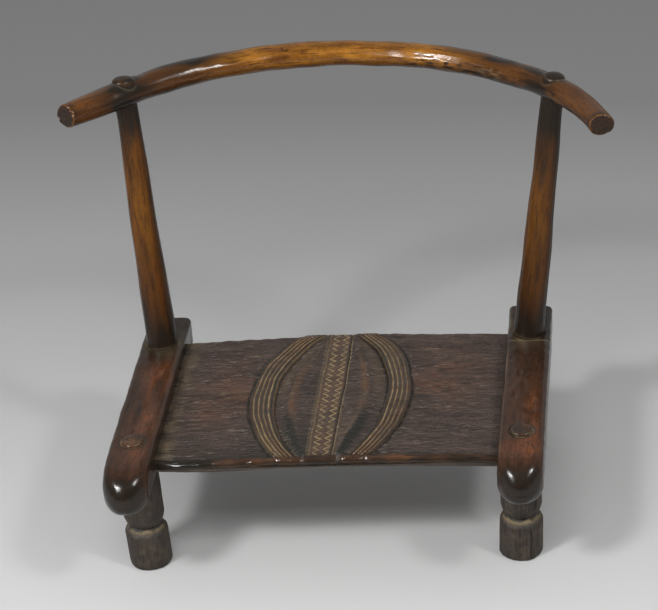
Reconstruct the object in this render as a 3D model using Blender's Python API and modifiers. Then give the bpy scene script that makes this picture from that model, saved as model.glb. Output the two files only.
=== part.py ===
"""Low carved chair.

Two side rails stand on four turned legs, a crowned seat with a carved oval is let into grooves in the rails,
and two tapered posts rise from the rails and go right through a bowed crest rail. Every piece is a solid
of its own.
"""

import math

import bmesh
import bpy
from mathutils import Euler, Vector

# Sizes are in metres. X runs across the chair, Y from front to back and Z up from the floor.
# The front legs' tenons cross the rail tops at Y 0, until the chair is centred on its footprint at the end.
CLEARANCE = 0.0003
OVERRUN = 0.010

# Side rails, set a little out of line with each other as the hand-made chair is
RAIL_SPACING = 0.402
RAIL_WIDTH = 0.047
RAIL_HEIGHT = 0.044
RAIL_TOP = 0.151
RAIL_NOSE = 0.078
RAIL_TAIL = 0.056
RAIL_STAGGER = 0.012
RAIL_TOP_ROUND = 0.005
RAIL_BOTTOM_ROUND = 0.014
NOSE_TOP_ROUND = 0.020
NOSE_BOTTOM_ROUND = 0.014
NOSE_SIDE_ROUND = 0.012
TAIL_ROUND = 0.005

# Legs
LEG_SPAN = 0.194
LEG_TOE_IN = 0.005
LEG_COPE = 0.012
LEG_UPPER_RADIUS = 0.022
LEG_RIM_RADIUS = 0.019
LEG_RIM_TAPER = 0.010
LEG_NECK_RADIUS = 0.0155
LEG_NECK_HEIGHT = 0.003
LEG_LEDGE_RISE = 0.006
FOOT_RADIUS = 0.0228
FOOT_HEIGHT = 0.043
FOOT_EDGE_ROUND = 0.003
TENON_RADIUS = 0.0116
PEG_PROUD = 0.0022
PEG_CHAMFER = 0.001
MORTISE_WEB = 0.006

# Back posts
POST_RISE = 0.292
POST_LEAN = 0.0155
POST_SPLAY = 0.024
POST_SHIFT = 0.008
POST_BASE_RADIUS = 0.0168
POST_TOP_RADIUS = 0.0116
POST_TENON_LENGTH = 0.020
BUTTON_PROUD = 0.0025
BUTTON_CHAMFER = 0.0015

# Crest rail
CREST_TILT = math.radians(3)
CREST_CROSSING = math.radians(49)
CREST_LEFT_REACH = 0.077
CREST_RIGHT_REACH = 0.108
CREST_RIGHT_RADIUS = 0.253
CREST_HEIGHT = 0.0245
CREST_WALL = 0.0024
CREST_LEFT_SWELL = 1.15
CREST_LEFT_END = 1.00
CREST_RIGHT_END = 0.91

# Seat
SEAT_DROP = 0.016
SEAT_THICKNESS = 0.013
SEAT_CROWN = 0.0055
SEAT_HOUSING = 0.006
SEAT_FRONT_OVERHANG = 0.026
SEAT_BACK_OVERHANG = 0.022
SEAT_FRONT_TOP_ROUND = 0.007
SEAT_FRONT_BOTTOM_ROUND = 0.004
SEAT_BACK_ROUND = 0.003

# Carved oval: half widths of its lines at the seat's front edge, middle and back edge
OVAL_OFFSET = -0.0055
OVAL_OUTER = (0.0475, 0.0855, 0.0330)
OVAL_INNER = (0.0260, 0.0605, 0.0165)
OVAL_ARRIS = (0.0185, 0.0415, 0.0145)
OVAL_STRIP = (0.0110, 0.0125, 0.0115)
OVAL_FULLNESS = 0.8
RIDGE_COUNT = 5
RIDGE_HEIGHT = 0.0018
RIDGE_VALLEY = 0.0005
DISH_DEPTH = 0.0020
ARRIS_HEIGHT = 0.0022
STRIP_HEIGHT = 0.0010
STRIP_STEP = 0.0012

# Facets
ROUND_STEPS = 32
CORNER_STEPS = 4
NOSE_STEPS = 8
TAIL_STEPS = 3
CREST_STEPS = 36
CREST_SIDES = 20
SEAT_EDGE_STEPS = 4
SEAT_STATIONS = 20
SEAT_PLAIN_COLUMNS = 5
SMOOTH_ANGLE = math.radians(35)
MERGE_DISTANCE = 0.00005

HALF_SPACING = RAIL_SPACING / 2
RAIL_BOTTOM = RAIL_TOP - RAIL_HEIGHT
RAIL_REAR = LEG_SPAN + RAIL_TAIL
RAIL_INNER = HALF_SPACING - RAIL_WIDTH / 2
POST_REACH = HALF_SPACING + POST_SPLAY
CREST_RADIUS = POST_REACH / math.sin(CREST_CROSSING)
CREST_HALF_SPAN = CREST_RADIUS * CREST_CROSSING
CREST_DEPTH = 2 * (POST_TOP_RADIUS + CLEARANCE + CREST_WALL)
CREST_CENTRE = Vector((POST_SHIFT, LEG_SPAN + POST_LEAN, RAIL_TOP + POST_RISE))
SIDES = {"left": -1, "right": 1}


# Scene helpers

def clear_scene():
    for obj in list(bpy.data.objects):
        bpy.data.objects.remove(obj, do_unlink=True)


def new_collection(name):
    collection = bpy.data.collections.new(name)
    bpy.context.scene.collection.children.link(collection)
    return collection


def wood(name, colour, roughness):
    material = bpy.data.materials.new(name)
    material.use_nodes = True
    shader = material.node_tree.nodes["Principled BSDF"]
    shader.inputs["Base Color"].default_value = (*colour, 1.0)
    shader.inputs["Roughness"].default_value = roughness
    shader.inputs["Metallic"].default_value = 0.0
    return material


def place(name, mesh, location, rotation=None, material=None):
    """Adds a mesh to the chair: a piece of it, or a hidden tool where there is no material."""
    obj = bpy.data.objects.new(name, mesh)
    obj.parent = chair
    obj.location = location
    if rotation is not None:
        obj.rotation_mode = "QUATERNION"
        obj.rotation_quaternion = rotation
    if material is None:
        obj.hide_render = True
        obj.display_type = "WIRE"
        tools.objects.link(obj)
    else:
        mesh.materials.append(material)
        parts.objects.link(obj)
    return obj


def boolean(obj, operation, *others):
    for other in others:
        modifier = obj.modifiers.new(operation.lower(), "BOOLEAN")
        modifier.operation = operation
        modifier.solver = "EXACT"
        modifier.object = other


def shade(mesh):
    mesh.shade_smooth()
    mesh.set_sharp_from_angle(angle=SMOOTH_ANGLE)


# Shape helpers

def loft(name, rings):
    """Closed mesh through rings of equal point count, with the first and the last ring filled."""
    mesh = bpy.data.meshes.new(name)
    body = bmesh.new()
    loops = [[body.verts.new(point) for point in ring] for ring in rings]
    for near, far in zip(loops, loops[1:]):
        for k in range(len(near)):
            body.faces.new((near[k - 1], near[k], far[k], far[k - 1]))
    body.faces.new(loops[0])
    body.faces.new(loops[-1])
    bmesh.ops.recalc_face_normals(body, faces=body.faces)
    body.to_mesh(mesh)
    body.free()
    shade(mesh)
    return mesh


def turned(name, profile, location, axis, material=None):
    """Solid turned about axis from (radius, height) points that run from its top to its bottom."""
    mesh = bpy.data.meshes.new(name)
    edges = [(k, k + 1) for k in range(len(profile) - 1)]
    mesh.from_pydata([(radius, 0, height) for radius, height in profile], edges, [])
    upright = Vector((0, 0, 1)).rotation_difference(axis)
    obj = place(name, mesh, location, upright, material)
    screw = obj.modifiers.new("turn", "SCREW")
    screw.axis = "Z"
    screw.angle = 2 * math.pi
    screw.steps = ROUND_STEPS
    screw.render_steps = ROUND_STEPS
    screw.use_merge_vertices = True
    screw.merge_threshold = MERGE_DISTANCE
    screw.use_smooth_shade = True
    return obj


def rod(radius, low, high, chamfer=0.0):
    """Profile of a plain round bar, with its upper edge chamfered where a chamfer is given."""
    edge = [(radius - chamfer, high)] if chamfer else []
    return [(0, high), *edge, (radius, high - chamfer), (radius, low), (0, low)]


def drawn_in(distance, radius):
    """How far an edge rounded at that radius has drawn in at a distance from the end."""
    reach = max(radius - distance, 0.0)
    return radius - math.sqrt(radius ** 2 - reach ** 2)


def end_distances(radius, steps):
    return [radius * (1 - math.cos(math.pi / 2 * k / steps)) for k in range(steps + 1)]


def quarter(centre_x, centre_z, radius, start):
    angles = [math.radians(start + 90 * k / CORNER_STEPS) for k in range(CORNER_STEPS + 1)]
    return [(centre_x + radius * math.cos(a), centre_z + radius * math.sin(a)) for a in angles]


# Side rails

def rail_section(half, low, high, low_round, high_round):
    high_round = min(high_round, half, (high - low) / 2)
    low_round = min(low_round, half, high - low - high_round)
    return (quarter(half - high_round, high - high_round, high_round, 0)
            + quarter(high_round - half, high - high_round, high_round, 90)
            + quarter(low_round - half, low + low_round, low_round, 180)
            + quarter(half - low_round, low + low_round, low_round, 270))


def rail_mesh(name, grow=0.0):
    """Rail along Y with a rounded nose and tail; grow adds a clearance all round it."""
    nose_round = max(NOSE_TOP_ROUND, NOSE_BOTTOM_ROUND, NOSE_SIDE_ROUND)
    stations = [-RAIL_NOSE + d for d in end_distances(nose_round, NOSE_STEPS)]
    stations += [RAIL_REAR - d for d in reversed(end_distances(TAIL_ROUND, TAIL_STEPS))]
    rings = []
    for y in stations:
        front = y + RAIL_NOSE
        back = RAIL_REAR - y
        tail = drawn_in(back, TAIL_ROUND)
        half = RAIL_WIDTH / 2 - drawn_in(front, NOSE_SIDE_ROUND) - tail + grow
        low = RAIL_BOTTOM + drawn_in(front, NOSE_BOTTOM_ROUND) + tail - grow
        high = RAIL_TOP - drawn_in(front, NOSE_TOP_ROUND) - tail + grow
        along = y - grow if front < back else y + grow
        section = rail_section(half, low, high, RAIL_BOTTOM_ROUND + grow, RAIL_TOP_ROUND + grow)
        rings.append([(x, along, z) for x, z in section])
    return loft(name, rings)


def rail_place(side, y=0.0, z=0.0):
    return Vector((side * HALF_SPACING, side * RAIL_STAGGER + y, z))


# Legs

def leg_profile(shoulder):
    ledge = FOOT_HEIGHT + LEG_LEDGE_RISE
    rim = ledge + LEG_NECK_HEIGHT
    tread = FOOT_RADIUS - FOOT_EDGE_ROUND
    slack = FOOT_EDGE_ROUND * (1 - math.sqrt(0.5))
    return [(0, shoulder),
            (LEG_UPPER_RADIUS, shoulder),
            (LEG_UPPER_RADIUS, rim + LEG_RIM_TAPER),
            (LEG_RIM_RADIUS, rim),
            (LEG_NECK_RADIUS, rim),
            (LEG_NECK_RADIUS, ledge),
            (FOOT_RADIUS, FOOT_HEIGHT),
            (FOOT_RADIUS, FOOT_EDGE_ROUND),
            (FOOT_RADIUS - slack, slack),
            (tread, 0),
            (tread, -OVERRUN),
            (0, -OVERRUN)]


def make_leg(name, side, y, tenon_end):
    """Leg whose tenon ends at a height, coped to the rail's underside and cut level at the floor."""
    foot = rail_place(side, y) - Vector((side * LEG_TOE_IN, 0, 0))
    axis = Vector((side * LEG_TOE_IN, 0, RAIL_TOP))
    slant = axis.length / RAIL_TOP
    root = (RAIL_BOTTOM - OVERRUN) * slant
    end = tenon_end * slant
    leg = turned(name, leg_profile((RAIL_BOTTOM + LEG_COPE) * slant), foot, axis, leg_wood)
    tenon = turned(name + "_tenon", rod(TENON_RADIUS, root, end, PEG_CHAMFER), foot, axis)
    mortise = turned(name + "_mortise", rod(TENON_RADIUS + CLEARANCE, root, end + CLEARANCE), foot, axis)
    boolean(leg, "DIFFERENCE", rail_room[side], floor)
    boolean(leg, "UNION", tenon)
    return mortise


# Back posts and crest rail

def crest_place(run):
    """Place in the bow's plane at a run from its middle; its left end is straight and its right end tight."""
    angle = max(min(run / CREST_RADIUS, CREST_CROSSING), -CREST_CROSSING)
    x = CREST_RADIUS * math.sin(angle)
    y = CREST_RADIUS * (math.cos(angle) - math.cos(CREST_CROSSING))
    past = abs(run) - CREST_HALF_SPAN
    if run < -CREST_HALF_SPAN:
        x -= past * math.cos(CREST_CROSSING)
        y -= past * math.sin(CREST_CROSSING)
    elif run > CREST_HALF_SPAN:
        turn = CREST_CROSSING + past / CREST_RIGHT_RADIUS
        x += CREST_RIGHT_RADIUS * (math.sin(turn) - math.sin(CREST_CROSSING))
        y += CREST_RIGHT_RADIUS * (math.cos(turn) - math.cos(CREST_CROSSING))
    return x, y


def crest_swell(run):
    """Scale of the crest rail's section at a run from its middle: thickest at the left post."""
    past = abs(run) - CREST_HALF_SPAN
    if run < -CREST_HALF_SPAN:
        return CREST_LEFT_SWELL + (CREST_LEFT_END - CREST_LEFT_SWELL) * past / CREST_LEFT_REACH
    if run > CREST_HALF_SPAN:
        return 1 + (CREST_RIGHT_END - 1) * past / CREST_RIGHT_REACH
    return 1 + (CREST_LEFT_SWELL - 1) * (CREST_HALF_SPAN - run) / (2 * CREST_HALF_SPAN)


def make_post(name, side):
    """Post that stands on its rail, with a tenon below and a tip that goes through the crest rail."""
    base = rail_place(side, LEG_SPAN, RAIL_TOP)
    axis = CREST_CENTRE + Vector((side * POST_REACH, 0, 0)) - base
    half_crest = CREST_HEIGHT / 2 * crest_swell(side * CREST_HALF_SPAN)
    tip = axis.length + half_crest + BUTTON_PROUD

    def radius(height):
        return POST_BASE_RADIUS + (POST_TOP_RADIUS - POST_BASE_RADIUS) * height / axis.length

    profile = [(0, tip), (radius(tip) - BUTTON_CHAMFER, tip), (radius(tip), tip - BUTTON_CHAMFER),
               (POST_BASE_RADIUS, 0), (POST_BASE_RADIUS, -OVERRUN), (0, -OVERRUN)]
    post = turned(name, profile, base, axis, post_wood)
    tenon = turned(name + "_tenon", rod(TENON_RADIUS, -POST_TENON_LENGTH, OVERRUN), base, axis)
    boolean(post, "DIFFERENCE", rail_room[side])
    boolean(post, "UNION", tenon)

    socket = rod(TENON_RADIUS + CLEARANCE, -POST_TENON_LENGTH - CLEARANCE, OVERRUN)
    rail_mortise = turned(name + "_mortise", socket, base, axis)
    low = axis.length - CREST_DEPTH
    high = tip + OVERRUN
    taper = [(0, high), (radius(high) + CLEARANCE, high), (radius(low) + CLEARANCE, low), (0, low)]
    crest_mortise = turned(name + "_crest_mortise", taper, base, axis)
    return rail_mortise, crest_mortise


def make_crest(name):
    """Bowed rail of oval section, along a bow whose plane is tilted to suit the posts, with room for them."""
    first = -CREST_HALF_SPAN - CREST_LEFT_REACH
    last = CREST_HALF_SPAN + CREST_RIGHT_REACH
    turns = [2 * math.pi * k / CREST_SIDES for k in range(CREST_SIDES)]
    oval = bpy.data.curves.new(name + "_section", "CURVE")
    outline = oval.splines.new("POLY")
    outline.points.add(CREST_SIDES - 1)
    outline.use_cyclic_u = True
    for point, turn in zip(outline.points, turns):
        point.co = (CREST_DEPTH / 2 * math.cos(turn), CREST_HEIGHT / 2 * math.sin(turn), 0, 1)
    section = place(name + "_section", oval, (0, 0, 0))

    arc = bpy.data.curves.new(name + "_arc", "CURVE")
    arc.dimensions = "3D"
    arc.twist_mode = "Z_UP"
    arc.bevel_mode = "OBJECT"
    arc.bevel_object = section
    arc.use_fill_caps = True
    route = arc.splines.new("POLY")
    route.points.add(CREST_STEPS)
    for k, point in enumerate(route.points):
        run = first + (last - first) * k / CREST_STEPS
        point.co = (*crest_place(run), 0, 1)
        point.radius = crest_swell(run)
    sweep = place(name + "_arc", arc, CREST_CENTRE)

    depsgraph = bpy.context.evaluated_depsgraph_get()
    mesh = bpy.data.meshes.new_from_object(sweep.evaluated_get(depsgraph))
    body = bmesh.new()
    body.from_mesh(mesh)
    bmesh.ops.remove_doubles(body, verts=body.verts, dist=MERGE_DISTANCE)
    bmesh.ops.recalc_face_normals(body, faces=body.faces)
    body.to_mesh(mesh)
    body.free()
    shade(mesh)
    for curve in (sweep, section):
        bpy.data.objects.remove(curve, do_unlink=True)
    tilt = Euler((-CREST_TILT, 0, 0)).to_quaternion()
    return place(name, mesh, CREST_CENTRE, tilt, crest_wood)


# Seat

def oval_line(line, s):
    """Half width of one of the oval's lines at s, from -1 at the seat's front edge to 1 at its back edge."""
    front, middle, back = line
    ends = front + (back - front) * (s + 1) / 2
    return ends + (middle - ends) * (1 - s * s) ** OVAL_FULLNESS


def carving(s):
    """Half of the oval's section at s, from the outside in: distance from its middle and height of relief."""
    outer = oval_line(OVAL_OUTER, s)
    inner = oval_line(OVAL_INNER, s)
    arris = oval_line(OVAL_ARRIS, s)
    strip = oval_line(OVAL_STRIP, s)
    pitch = (outer - inner) / RIDGE_COUNT
    half = [(outer, 0.0)]
    for k in range(RIDGE_COUNT):
        half.append((outer - (k + 0.5) * pitch, RIDGE_HEIGHT))
        half.append((outer - (k + 1) * pitch, RIDGE_VALLEY))
    half[-1] = (inner, -DISH_DEPTH)
    half += [((inner + arris) / 2, -DISH_DEPTH / 2),
             (arris, ARRIS_HEIGHT),
             ((arris + strip) / 2, ARRIS_HEIGHT / 2),
             (strip + STRIP_STEP, 0.0),
             (strip, STRIP_HEIGHT)]
    return half


def seat_columns(s, carved):
    """Places across the seat between its rails, from right to left, with the height of relief at each."""
    if not carved:
        return [(RAIL_INNER, 0.0), (-RAIL_INNER, 0.0)]
    half = carving(s)
    right = [(OVAL_OFFSET + x, lift) for x, lift in half]
    left = [(OVAL_OFFSET - x, lift) for x, lift in reversed(half)]
    columns = right + left
    for k in range(SEAT_PLAIN_COLUMNS):
        share = 1 - k / SEAT_PLAIN_COLUMNS
        columns.insert(k, (right[0][0] + (RAIL_INNER - right[0][0]) * share, 0.0))
        columns.insert(len(columns) - k, (left[-1][0] + (-RAIL_INNER - left[-1][0]) * share, 0.0))
    return columns


def seat_mesh(name, grow=0.0, carved=True):
    """Seat board from front to back, crowned between the rails; grow adds a clearance all round it."""
    front = -SEAT_FRONT_OVERHANG
    back = LEG_SPAN + SEAT_BACK_OVERHANG
    end = RAIL_INNER + SEAT_HOUSING
    top = RAIL_TOP - SEAT_DROP
    front_round = max(SEAT_FRONT_TOP_ROUND, SEAT_FRONT_BOTTOM_ROUND)
    first = front + front_round
    step = (back - SEAT_BACK_ROUND - first) / SEAT_STATIONS
    stations = [front + d for d in end_distances(front_round, SEAT_EDGE_STEPS)]
    stations += [first + step * k for k in range(1, SEAT_STATIONS)]
    stations += [back - d for d in reversed(end_distances(SEAT_BACK_ROUND, SEAT_EDGE_STEPS))]
    rings = []
    for y in stations:
        s = 2 * (y - front) / (back - front) - 1
        tail = drawn_in(back - y, SEAT_BACK_ROUND)
        drop = drawn_in(y - front, SEAT_FRONT_TOP_ROUND) + tail
        rise = drawn_in(y - front, SEAT_FRONT_BOTTOM_ROUND) + tail
        fade = 1 - drop / front_round
        along = y - grow if s < 0 else y + grow
        columns = [(end + grow, 0.0), *seat_columns(s, carved), (-end - grow, 0.0)]
        ring = []
        for x, lift in columns:
            crown = SEAT_CROWN * max(1 - (x / RAIL_INNER) ** 2, 0.0)
            ring.append((x, top - drop + crown + lift * fade + grow))
        for k in range(-SEAT_PLAIN_COLUMNS, SEAT_PLAIN_COLUMNS + 1):
            x = RAIL_INNER * k / SEAT_PLAIN_COLUMNS
            crown = SEAT_CROWN * (1 - (k / SEAT_PLAIN_COLUMNS) ** 2) if carved else 0.0
            ring.append((x, top - SEAT_THICKNESS + rise + crown - grow))
        ring.insert(len(columns), (-end - grow, top - SEAT_THICKNESS + rise - grow))
        ring.append((end + grow, top - SEAT_THICKNESS + rise - grow))
        rings.append([(x, along + RAIL_STAGGER * x / HALF_SPACING, z) for x, z in ring])
    return loft(name, rings)


# Assembly

def floor_block():
    """Block below the floor that trims the feet level."""
    mesh = bpy.data.meshes.new("floor")
    body = bmesh.new()
    bmesh.ops.create_cube(body, size=1.0)
    width = RAIL_SPACING + 2 * RAIL_WIDTH + 2 * OVERRUN
    length = LEG_SPAN + 4 * FOOT_RADIUS + 2 * RAIL_STAGGER + 2 * OVERRUN
    bmesh.ops.scale(body, vec=(width, length, 2 * OVERRUN), verts=body.verts)
    body.to_mesh(mesh)
    body.free()
    return place("floor", mesh, (0, LEG_SPAN / 2, -OVERRUN))


def centre_on_footprint():
    """Moves the chair so that the origin lies on the floor under the middle of its bounding box."""
    bpy.context.view_layer.update()
    depsgraph = bpy.context.evaluated_depsgraph_get()
    points = []
    for obj in parts.objects:
        if obj.type != "MESH":
            continue
        shape = obj.evaluated_get(depsgraph)
        mesh = shape.to_mesh()
        points += [obj.matrix_world @ vertex.co for vertex in mesh.vertices]
        shape.to_mesh_clear()
    for axis in (0, 1):
        places = [point[axis] for point in points]
        chair.location[axis] = -(min(places) + max(places)) / 2


clear_scene()
parts = new_collection("low_carved_chair")
tools = new_collection("cutting_tools")
chair = bpy.data.objects.new("chair", None)
parts.objects.link(chair)

rail_wood = wood("rail_wood", (0.085, 0.034, 0.018), 0.32)
seat_wood = wood("seat_wood", (0.060, 0.033, 0.024), 0.40)
leg_wood = wood("leg_wood", (0.075, 0.052, 0.038), 0.65)
post_wood = wood("post_wood", (0.130, 0.048, 0.018), 0.35)
crest_wood = wood("crest_wood", (0.170, 0.062, 0.020), 0.28)

floor = floor_block()
rail_room = {}
for side in SIDES.values():
    rail_room[side] = place("rail_room", rail_mesh("rail_room", CLEARANCE), rail_place(side))

seat = place("seat_panel", seat_mesh("seat_panel"), (0, 0, 0), None, seat_wood)
seat_room = place("seat_room", seat_mesh("seat_room", CLEARANCE, False), (0, 0, 0))
crest = make_crest("crest_rail")

for word, side in SIDES.items():
    rail = place(word + "_side_rail", rail_mesh(word + "_side_rail"), rail_place(side), None, rail_wood)
    rear_tenon_end = RAIL_TOP - POST_TENON_LENGTH - MORTISE_WEB
    front_mortise = make_leg("front_" + word + "_leg", side, 0.0, RAIL_TOP + PEG_PROUD)
    rear_mortise = make_leg("rear_" + word + "_leg", side, LEG_SPAN, rear_tenon_end)
    post_mortise, crest_mortise = make_post(word + "_back_post", side)
    boolean(rail, "DIFFERENCE", front_mortise, rear_mortise, post_mortise, seat_room)
    boolean(crest, "DIFFERENCE", crest_mortise)

centre_on_footprint()
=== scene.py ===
import math
from types import SimpleNamespace

import bpy
import numpy as np
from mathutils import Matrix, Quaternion, Vector


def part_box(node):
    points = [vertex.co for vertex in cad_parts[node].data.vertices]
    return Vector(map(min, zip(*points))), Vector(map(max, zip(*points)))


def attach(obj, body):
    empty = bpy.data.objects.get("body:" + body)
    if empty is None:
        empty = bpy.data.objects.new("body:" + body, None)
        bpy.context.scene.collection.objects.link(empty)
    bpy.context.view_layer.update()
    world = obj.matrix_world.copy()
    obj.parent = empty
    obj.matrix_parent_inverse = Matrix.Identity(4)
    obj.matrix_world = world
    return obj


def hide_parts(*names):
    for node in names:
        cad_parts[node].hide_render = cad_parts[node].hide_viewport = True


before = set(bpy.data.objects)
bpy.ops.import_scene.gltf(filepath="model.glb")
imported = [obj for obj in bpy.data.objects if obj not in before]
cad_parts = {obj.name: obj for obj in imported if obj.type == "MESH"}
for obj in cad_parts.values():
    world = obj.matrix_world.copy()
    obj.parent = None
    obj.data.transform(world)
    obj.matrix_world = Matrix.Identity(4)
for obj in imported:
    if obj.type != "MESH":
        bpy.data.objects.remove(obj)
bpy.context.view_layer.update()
tau = 2 * math.pi
sideSign = {"left": -1, "right": 1}

# Where the solids are: everything below is placed from these boxes, in metres
railBox = {side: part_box(side + "_side_rail") for side in sideSign}
railMid = {side: (railBox[side][0].x + railBox[side][1].x) / 2 for side in sideSign}
railTop = railBox["left"][1].z
halfSpacing = (railMid["right"] - railMid["left"]) / 2
stagger = (railBox["right"][0].y - railBox["left"][0].y) / 2
legY = {}
for end in ("front", "rear"):
    for side in sideSign:
        low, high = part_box(f"{end}_{side}_leg")
        legY[end, side] = (low.y + high.y) / 2
print("frame loaded:", len(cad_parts), "solids")


# Helpers for surfaces
rippleWaves = 26
rippleSpread = (0.7, 1.6)     # shortest and longest wave, as shares of the wavelength asked for
sharpAngle = math.radians(50)
leastLength = 1e-9     # keeps normals from a division by zero
leastCore = 0.75     # share of a turned piece's core that its relief leaves


# Bell curve that is 1 at no distance
def bell(distance, width):
    return np.exp(-(distance / width) ** 2)


# Smooth step from 0 at low to 1 at high
def ramp(value, low, high):
    share = np.clip((value - low) / (high - low), 0, 1)
    return share * share * (3 - 2 * share)


# Smooth plateau: up over the rise and down over the fall, each given by its two ends
def plateau(value, rise, fall):
    return ramp(value, *rise) * (1 - ramp(value, *fall))


# Factors of a mark, by the name of a measure: a bell at a place, a step from one value to another, or a base
# with a swing that follows the measure
def near(name, place, width):
    return lambda at: bell(at[name] - place, width)


def rise(name, low, high):
    return lambda at: ramp(at[name], low, high)


def varied(name, base, swing):
    return lambda at: base + swing * at[name]


# A mark: the sum of its rows, each a weight times factors that are made above or are measures by name
def markFrom(rows, at):
    total = 0
    for weight, *factors in rows:
        for factor in factors:
            weight = weight * (at[factor] if isinstance(factor, str) else factor(at))
        total = total + weight
    return total


# All marks of a piece, from the rows in its dictionary
def marksFrom(shape, at):
    return {name: markFrom(shape[name], at) for name in ("worn", "soot", "dust", "matt") if name in shape}


# Smooth bumps in space, about 1 high: a sum of cosine waves in random directions, drawn from the seed
def ripples(points, wavelength, seed):
    rng = np.random.default_rng(seed)
    aim = rng.normal(size=(3, rippleWaves))
    aim *= tau / (np.linalg.norm(aim, axis=0) * rng.uniform(*rippleSpread, rippleWaves))
    phase = rng.uniform(0, tau, rippleWaves)
    return np.cos(points / np.asarray(wavelength) @ aim + phase).sum(axis=-1) / math.sqrt(rippleWaves / 2)


# Triangle wave from -1 to 1 and back, once in a unit
def zigzag(turns):
    return 4 * np.abs(turns - np.floor(turns + 0.5)) - 1


# Signed angle between two directions, past the seam too
def angleFrom(turns, place):
    return np.angle(np.exp(1j * (turns - place)))


# How far an edge rounded at a radius has drawn in, at a distance from the end
def drawnIn(distance, radius):
    reach = np.maximum(radius - distance, 0)
    return radius - np.sqrt(radius ** 2 - reach ** 2)


# Share of the full size at a distance from a blunt end: a superellipse, blunter with a higher power
def bluntEnd(distance, reach, power):
    short = np.clip(1 - distance / reach, 0, 1)
    return (1 - short ** power) ** (1 / power)


# Distances along a rounded end, close together where it curves most
def endSteps(radius, count):
    return radius * (1 - np.cos(np.linspace(0, math.pi / 2, count)))


# Evenly spaced points along a polyline, with its corners eased by averaging neighbours
def easedLine(corners, step, passes):
    corners = np.array(corners, float)
    run = np.concatenate([[0], np.cumsum(np.linalg.norm(np.diff(corners, axis=0), axis=1))])
    even = np.linspace(0, run[-1], int(run[-1] / step))
    line = np.stack([np.interp(even, run, corners[:, k]) for k in (0, 1)], axis=-1)
    for k in range(passes):
        line[1:-1] = (line[:-2] + 2 * line[1:-1] + line[2:]) / 4
    return line


# A profile of radius and height turned round: grids of radius, height and angle, and the points
def turnedGrid(profile, around):
    radius = np.broadcast_to(profile[:, :1], (len(profile), around))
    up = np.broadcast_to(profile[:, 1:], radius.shape)
    angle = np.broadcast_to(np.linspace(0, tau, around, endpoint=False), radius.shape)
    return radius, up, angle, np.stack([radius * np.cos(angle), radius * np.sin(angle), up], axis=-1)


# Flats that a blade leaves round a piece: 1 on their middle lines, which wander along it
def flats(shape, angle, rod, seed):
    wander, wavelength = shape.facetWander
    return np.abs(zigzag(shape.facets * angle / tau + wander * ripples(rod, (1, 1, wavelength), seed))) ** 2


# Radius of a turned piece with its relief, which fades towards the axis and never closes the core
def withRelief(shape, radius, height):
    return np.maximum(radius + height * ramp(radius, *shape.bodyFrom), leastCore * shape.core)


# Unit normals of a grid of loops, from the differences between neighbours, pointing out of the piece
def outward(points):
    along = np.gradient(points, axis=0)
    around = np.roll(points, -1, axis=1) - np.roll(points, 1, axis=1)
    normal = np.cross(along, around)
    normal /= np.maximum(np.linalg.norm(normal, axis=-1, keepdims=True), leastLength)
    fromMiddle = points - points.mean(axis=1, keepdims=True)
    return normal * np.sign((fromMiddle * normal).sum())


# A closed mesh from a grid: each row is a loop round the piece, and the first and last loop are filled
def closedMesh(name, points, marks, fibre):
    rows, cols = points.shape[:2]
    row = np.arange(rows - 1)[:, None] * cols
    col = np.arange(cols)[None, :]
    beside = (col + 1) % cols
    quads = np.stack([row + col, row + beside, row + beside + cols, row + col + cols], axis=-1).reshape(-1, 4)
    firstCap = np.arange(cols)[::-1]
    lastCap = np.arange(cols) + (rows - 1) * cols
    flat = points.reshape(-1, 3)
    corner = [flat[quads[:, k]] - flat.mean(axis=0) for k in range(4)]
    volume = (corner[0] * np.cross(corner[1] - corner[0], corner[3] - corner[0])).sum()
    if volume < 0:
        quads = quads[:, ::-1]
        firstCap = firstCap[::-1]
        lastCap = lastCap[::-1]
    corners = np.concatenate([quads.ravel(), firstCap, lastCap])
    starts = np.concatenate([np.arange(len(quads)) * 4, [quads.size, quads.size + cols]])

    mesh = bpy.data.meshes.new(name)
    mesh.vertices.add(len(flat))
    mesh.vertices.foreach_set("co", flat.astype(np.float32).ravel())
    mesh.loops.add(len(corners))
    mesh.loops.foreach_set("vertex_index", corners.astype(np.int32))
    mesh.polygons.add(len(starts))
    mesh.polygons.foreach_set("loop_start", starts.astype(np.int32))
    mesh.update(calc_edges=True)
    for mark, values in marks.items():
        layer = mesh.attributes.new(mark, "FLOAT", "POINT")
        layer.data.foreach_set("value", np.clip(values, 0, 1).astype(np.float32).ravel())
    layer = mesh.attributes.new("fibre", "FLOAT_VECTOR", "POINT")
    layer.data.foreach_set("vector", fibre.astype(np.float32).ravel())
    mesh.shade_smooth()
    mesh.set_sharp_from_angle(angle=sharpAngle)
    return mesh


# Puts a finished grid in the scene in place of its solid
def dress(name, node, material, points, marks, fibre):
    mesh = closedMesh(name, points, marks, fibre)
    mesh.materials.append(material)
    piece = bpy.data.objects.new(name, mesh)
    bpy.context.scene.collection.objects.link(piece)
    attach(piece, "root")
    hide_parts(node)
    print("piece made:", name, len(mesh.polygons), "faces")


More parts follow.
